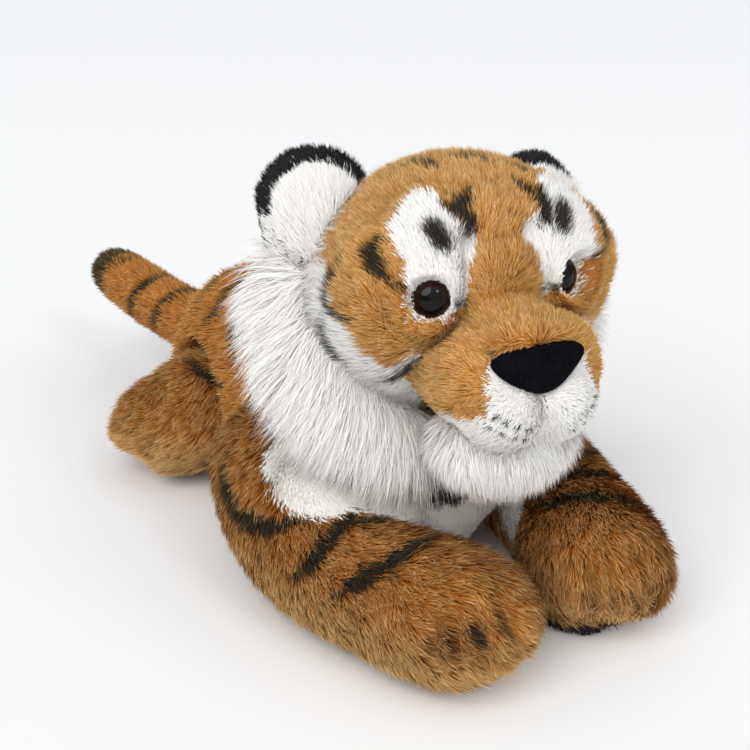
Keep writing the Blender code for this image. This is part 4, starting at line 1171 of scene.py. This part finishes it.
for place in EYE_FRAMES.values():
    near = np.column_stack([head.points, head.ones]) @ np.array(place.inverted()).T
    away = np.hypot(near[:, 0], near[:, 1])
    cap = EYE_SEAT + HOLLOW_DEPTH * smooth_rise(away, HOLLOW_START, HOLLOW_END)
    lowered = np.where((near[:, 2] > cap) & (near[:, 2] < 0.02) & (away < 0.019), cap - near[:, 2], 0)
    head.points = head.points + lowered[:, None] * np.array(place.to_3x3() @ Vector((0, 0, 1)))
local = in_head_frame(head.points)
dots = tuple((0.0006, ((x, y, z), (x + 0.0008, y, z - 0.0003)), 0.0006) for x, y, z in WHISKER_DOTS)
marks_right = moved(FACE_MARKS_RIGHT + dots, head.seen)
face_marks = marks_right + moved(FACE_MARKS_LEFT, head.seen)
face_marks += moved(moved(marks_right[3:], head_mirrored), head.nearest)
on_ruff = head.owned("ruff_right", "ruff_left")
on_chin = head.owned("chin_beard")
on_lips = head.owned("whisker_pad_right", "whisker_pad_left")
on_brows = head.owned("brow_patch_right", "brow_patch_left")
on_muzzle = head.owned("muzzle")
eye_reach = np.min([np.linalg.norm(local - np.array(p), axis=1) for p in EYE_PLACES.values()], axis=0)
near_eyes = head.owned(*eye_nodes)
on_eyes = near_eyes * (eye_reach < BARE_END)
on_brows = np.clip(on_brows + near_eyes - on_eyes, 0, 1)
on_head = head.owned("head")
# What is white is read from the photograph, at the place where the middle of a point's strands shows.
# It shows the right side of the face, so the left side is read where it mirrors that.
to_right = np.where(local[:, 0:1] > 0, (-1, 1, 1), (1, 1, 1))
from_source = local - COMB_SOURCE
local_outward = head.outward @ HEAD_AXES
lean = unit_rows(from_source - local_outward * (from_source * local_outward).sum(1)[:, None])
pixels = in_photo(from_head_frame((local + lean * 0.0022 + local_outward * 0.001) * to_right))
facing = ((local_outward * to_right) @ HEAD_AXES.T @ np.array(backward)) > -0.05
in_brow = inside_outline(pixels, BROW_OUTLINE) * facing
in_cheek = inside_outline(pixels, CHEEK_OUTLINE) * facing * on_head
in_lips = inside_outline(pixels, LIP_OUTLINE) * facing
edge_back = np.interp(local[:, 2], [z for z, y in PALE_EDGE], [y for z, y in PALE_EDGE])
on_side = ((local[:, 1] > edge_back) & (local[:, 1] < edge_back + SIDE_LENGTH)
           & (np.abs(local[:, 0]) > SIDE_START) & (local[:, 2] < SIDE_TOP)).astype(float) * on_head
pale = np.clip(on_ruff + on_chin + in_brow + in_cheek + on_side + in_lips * (1 - on_eyes), 0, 1)
on_lower_lip = (local[:, 2] < LOWER_LIP_TOP) & (local[:, 1] < LOWER_LIP_BACK)
pale = np.where((eye_reach < RING_END) | on_lower_lip, 1.0, pale)
nose_reach = reach_to("nose", head.points)
ruff_pile = RUFF_PILE * np.where(local[:, 0] < 0, np.interp(local[:, 2], (-0.060, -0.020), (1.30, 1.0)), 0.45)
pile = (on_head * HEAD_PILE + on_muzzle * BRIDGE_PILE + on_brows * BROW_PILE + on_lips * LIP_PILE
        + on_chin * CHIN_PILE + on_eyes * 0.001 + on_ruff * ruff_pile)
pile = np.where(on_side > 0, np.interp(local[:, 2], (-0.02, 0.045), (0.020, 0.012)), pile)
pile = np.where((in_brow > 0) & (on_head > 0), BROW_PILE, pile)
pile = head.even(pile, 4)
# The pile is short round the eyes, and reaches its full length sooner on their outer side
full_pile = np.where(np.abs(local[:, 0]) > 0.0335, 0.0120, 0.0210)
pile *= head.even(0.26 + 0.74 * smooth_rise(eye_reach, 0.0085, full_pile), 1)
below_nose = smooth_rise(-local[:, 2], 0.004, 0.010)
pile *= 1 - 0.55 * below_nose * (1 - smooth_rise(nose_reach, 0.0010, 0.0080))
# It is combed back from the nose, and outwards and down on the ruff, the chin and the lips
comb = unit_rows(from_source)
comb[:, 2] += 0.15 * (comb[:, 2] > 0)
outside = np.sign(local[:, 0])
fall = np.interp(local[:, 2], (-0.04, -0.01, 0.03), (-1.2, -0.75, -0.25))
for share, *way in (
        (on_ruff + on_side, outside * 0.75, np.where(local[:, 0] < 0, 0.45, 2.0), fall),
        (on_chin, local[:, 0] * 8, -0.35 * head.ones, -head.ones),
        (on_lips, outside * 0.9, 0.2 * head.ones, -0.8 * head.ones)):
    comb = np.where(share[:, None] > 0, np.column_stack(way), comb)
# A fringe of pile falls over the upper edge of the nose
fringe = ((1 - smooth_rise(nose_reach, 0.0010, 0.0045)) * (1 - below_nose))[:, None]
comb = comb * (1 - fringe) + np.array((0, -0.4, -1.0)) * fringe
head.lay_pile(comb @ HEAD_AXES.T, pile, rounds=4)
head.clear_of(["torso", "chest_panel", "nose", "ear_back_right", "ear_back_left", "ear_front_right",
               "ear_front_left"], shallow=0.0005, deep=0.003)
# No pile grows under the eyes, and the cover is let in less where the pile is short
head.bare = head.bare * (1 - on_eyes) * smooth_rise(eye_reach, BARE_END, PILE_START)
head.pale = pale = head.even(pale, 1)
head.inset = head.even(head.inset * (0.4 + 0.6 * smooth_rise(pile, 0.003, 0.007)), 2)
head.finish(face_marks, fill=0.8)
orange_share = (1 - smooth_rise(pale, 0.35, 0.65)) * (1 - on_eyes)
sew("lip_seam_thread", head, [from_head_frame(np.array(LIP_SEAM))], 13)
for side_name, half_share in halves(local[:, 0]):
    grow_pile("face_pile_" + side_name, head, face_pile, orange_share * half_share, FACE_STRANDS[side_name],
              width=0.00048, marks=face_marks, lean=(44, 66), tuft=(0.0060, 0.22), uneven=0.3)
    for name, share, strands, looks in (
            ("face_white_pile_", 1 - np.clip(on_ruff + on_chin + on_side, 0, 1), FACE_WHITE_STRANDS[side_name],
             dict(width=0.00045, lean=(42, 64), uneven=0.3, tuft=(0.004, 0.12), swirl=0.6)),
            ("ruff_pile_", np.clip(on_ruff + on_side, 0, 1) * (1 - on_chin), RUFF_STRANDS[side_name],
             dict(width=0.00033, lean=(42, 66), spread=34, stray=0.36, swirl=1.1, tuft=(0.010, 0.58),
                  uneven=0.80, droop=0.22, joints=4, ragged=0.001)),
            ("chin_pile_", on_chin, CHIN_STRANDS,
             dict(width=0.00036, lean=(40, 64), spread=34, stray=0.26, swirl=0.9, tuft=(0.008, 0.35),
                  uneven=0.5, droop=0.10))):
        grow_pile(name + side_name, head, white_pile, share * (1 - orange_share) * half_share, strands,
                  marks=face_marks, shade_spread=0.5, **looks)

# Ears. Each ear is a cupped back of short black plush and a white front with long fuzz that grows
# out from its base.
EAR_NET = 0.0016
EAR_BACK_PILE = 0.0066
EAR_FRONT_PILE = 0.0125
EAR_RIM_PILE = 0.0035
EAR_BACK_STRANDS = 11000
EAR_FRONT_STRANDS = {"right": 9000, "left": 7000}
for side_name, side in SIDES:
    back_node, front_node = "ear_back_" + side_name, "ear_front_" + side_name
    ear = Cover("ear_cover_" + side_name, "head_body", [back_node, front_node], black_cover, net=EAR_NET)
    low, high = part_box(back_node)
    base = np.array(((low[0] + high[0]) / 2 - side * 0.012, (low[1] + high[1]) / 2, low[2]))
    height = (ear.points[:, 2] - low[2]) / (high[2] - low[2])
    fuzzy = (1 - smooth_rise(height, 0.50, 0.62)) * smooth_rise(-ear.outward[:, 1], -0.35, 0.05)
    on_front = np.clip(ear.owned(front_node) + (fuzzy > 0.5), 0, 1)
    back_pile = EAR_BACK_PILE * (0.3 + 0.7 * smooth_rise(height, 0.45, 0.70))
    off_back = smooth_rise(ear.reach[back_node], 0.001, 0.006)
    front_pile = EAR_RIM_PILE + (EAR_FRONT_PILE - EAR_RIM_PILE) * off_back
    front_pile = front_pile * (1 - 0.45 * smooth_rise(height, 0.65, 0.85))
    ear.lay_pile(ear.points - base, back_pile * (1 - on_front) + front_pile * on_front, rounds=1)
    ear.clear_of(["head"], shallow=0.0005, deep=0.003)
    ear.finish(fill=0.4)
    grow_pile("ear_back_pile_" + side_name, ear, black_pile, 1 - on_front, EAR_BACK_STRANDS,
              width=0.00045, lean=(30, 48), spread=34, tuft=(0.005, 0.25))
    grow_pile("ear_front_pile_" + side_name, ear, white_pile, on_front, EAR_FRONT_STRANDS[side_name],
              width=0.0004, lean=(38, 58), spread=30, uneven=0.5, tuft=(0.006, 0.3), shade_spread=0.5)

# Nose. A pad of black velour, stitched over the end of the muzzle. It has a short nap that takes
# almost no light.
NOSE_NET = 0.0010
NAP_DARK = (0.002, 0.002, 0.003)
NAP_PALE = (0.007, 0.007, 0.009)
velour, velour_surface, start = new_material("black_velour_nap", 1.0)
velour_surface.inputs["Specular IOR Level"].default_value = 0.03
place = start.own_place()
nap = start.noise(place, 1800, 3)
brushed = start.noise(place, 160)
feed((nap * 0.6 + brushed * 0.4).rise(0.3, 0.7).between(NAP_DARK, NAP_PALE), velour_surface)
roughen(nap, velour_surface, 0.6, 0.0003)
nose = Cover("nose_cover", "head_body", ["nose"], ("black_velour", velour), net=NOSE_NET, inset=0.0, ease=5)
nose.finish(fill=0.8)

# Eyes. Safety eyes, each a polished dome with a dark iris on a ridged shank, pushed through the
# cloth and locked from inside by a moulded washer.
EYE_RADIUS = 0.0083
EYE_DOME = 0.0056
EYE_LIFT = 0.0020
EYE_RIM = 0.0016
SHANK_RADIUS = 0.0023
SHANK_LENGTH = 0.0125
RIDGE_RADIUS = 0.0028
RIDGES_START = -0.0068
RIDGES_LENGTH = 0.0021
EYE_SIDES = 48
DOME_STEPS = 14
PUPIL_COLOUR = (0.003, 0.0025, 0.002)
IRIS_COLOUR = (0.022, 0.008, 0.004)
# Where the pupil turns into the iris and the iris into the dark rim, as shares of the radius
IRIS_START, IRIS_END = (0.58, 0.68), (0.86, 0.98)
WASHER_DARK = (0.70, 0.70, 0.67)
WASHER_PALE = (0.78, 0.78, 0.75)
gloss, gloss_surface, start = new_material("polished_eye", 0.06)
gloss_surface.inputs["Specular IOR Level"].default_value = 0.20
ring = start.attribute("ring")
streak = start.node("ShaderNodeTexNoise", {"noise_dimensions": "1D"},
                    {"W": start.attribute("turn"), "Scale": 8.0, "Detail": 2.0})
iris = streak.rise(0.3, 0.7).between(tuple(c * 0.6 for c in IRIS_COLOUR), IRIS_COLOUR)
eye_colour = ring.rise(*IRIS_START).between(PUPIL_COLOUR, iris)
eye_colour = ring.rise(*IRIS_END).between(eye_colour, PUPIL_COLOUR)
feed(eye_colour, gloss_surface)
for side_name, _ in SIDES:
    eye_frame = EYE_FRAMES[side_name] @ Matrix.Translation((0, 0, EYE_LIFT))
    slopes = [math.pi / 2 * k / DOME_STEPS for k in range(DOME_STEPS + 1)]
    profile = [(EYE_RADIUS * math.sin(slope), EYE_DOME * math.cos(slope)) for slope in slopes]
    profile += [(EYE_RADIUS, -EYE_RIM * 0.7), (EYE_RADIUS - 0.0003, -EYE_RIM), (SHANK_RADIUS, -EYE_RIM)]
    for k in range(3):
        top = RIDGES_START - RIDGES_LENGTH * k / 2
        profile += [(SHANK_RADIUS, top), (RIDGE_RADIUS, top - RIDGES_LENGTH / 4),
                    (SHANK_RADIUS, top - RIDGES_LENGTH / 2.2)]
    profile += [(SHANK_RADIUS, -SHANK_LENGTH - EYE_RIM), (0, -SHANK_LENGTH - EYE_RIM)]
    shape = bmesh.new()
    rings, ring_radii, ring_turns = [], [], []
    for radius, height in profile:
        rings.append([])
        for k in range(EYE_SIDES if radius else 1):
            angle = 2 * math.pi * k / EYE_SIDES
            rings[-1].append(shape.verts.new((radius * math.cos(angle), radius * math.sin(angle), height)))
            ring_radii.append(radius / EYE_RADIUS)
            ring_turns.append(6 * abs(k / EYE_SIDES - 0.5))
    for upper_ring, lower_ring in zip(rings, rings[1:]):
        for k in range(EYE_SIDES):
            n = (k + 1) % EYE_SIDES
            corners = [upper_ring[k % len(upper_ring)], lower_ring[k % len(lower_ring)],
                       lower_ring[n % len(lower_ring)], upper_ring[n % len(upper_ring)]]
            shape.faces.new(list(dict.fromkeys(corners)))
    bmesh.ops.transform(shape, matrix=eye_frame, verts=shape.verts)
    bmesh.ops.recalc_face_normals(shape, faces=shape.faces)
    eye_mesh = bpy.data.meshes.new("eye_dome_" + side_name)
    shape.to_mesh(eye_mesh)
    shape.free()
    eye_mesh.shade_smooth()
    keep_numbers(eye_mesh, "ring", np.array(ring_radii))
    keep_numbers(eye_mesh, "turn", np.array(ring_turns))
    eye_mesh.materials.append(gloss)
    eye = new_piece("eye_dome_" + side_name, eye_mesh, "head_body", "eye_plastic")
    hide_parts("eye_" + side_name)

moulded, moulded_surface, start = new_material("moulded_washer", 0.5)
grain = start.noise(start.own_place(), 700).rise(0.3, 0.7)
feed(grain.between(WASHER_DARK, WASHER_PALE), moulded_surface)
for side_name, _ in SIDES:
    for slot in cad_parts["eye_washer_" + side_name].material_slots:
        slot.material = moulded
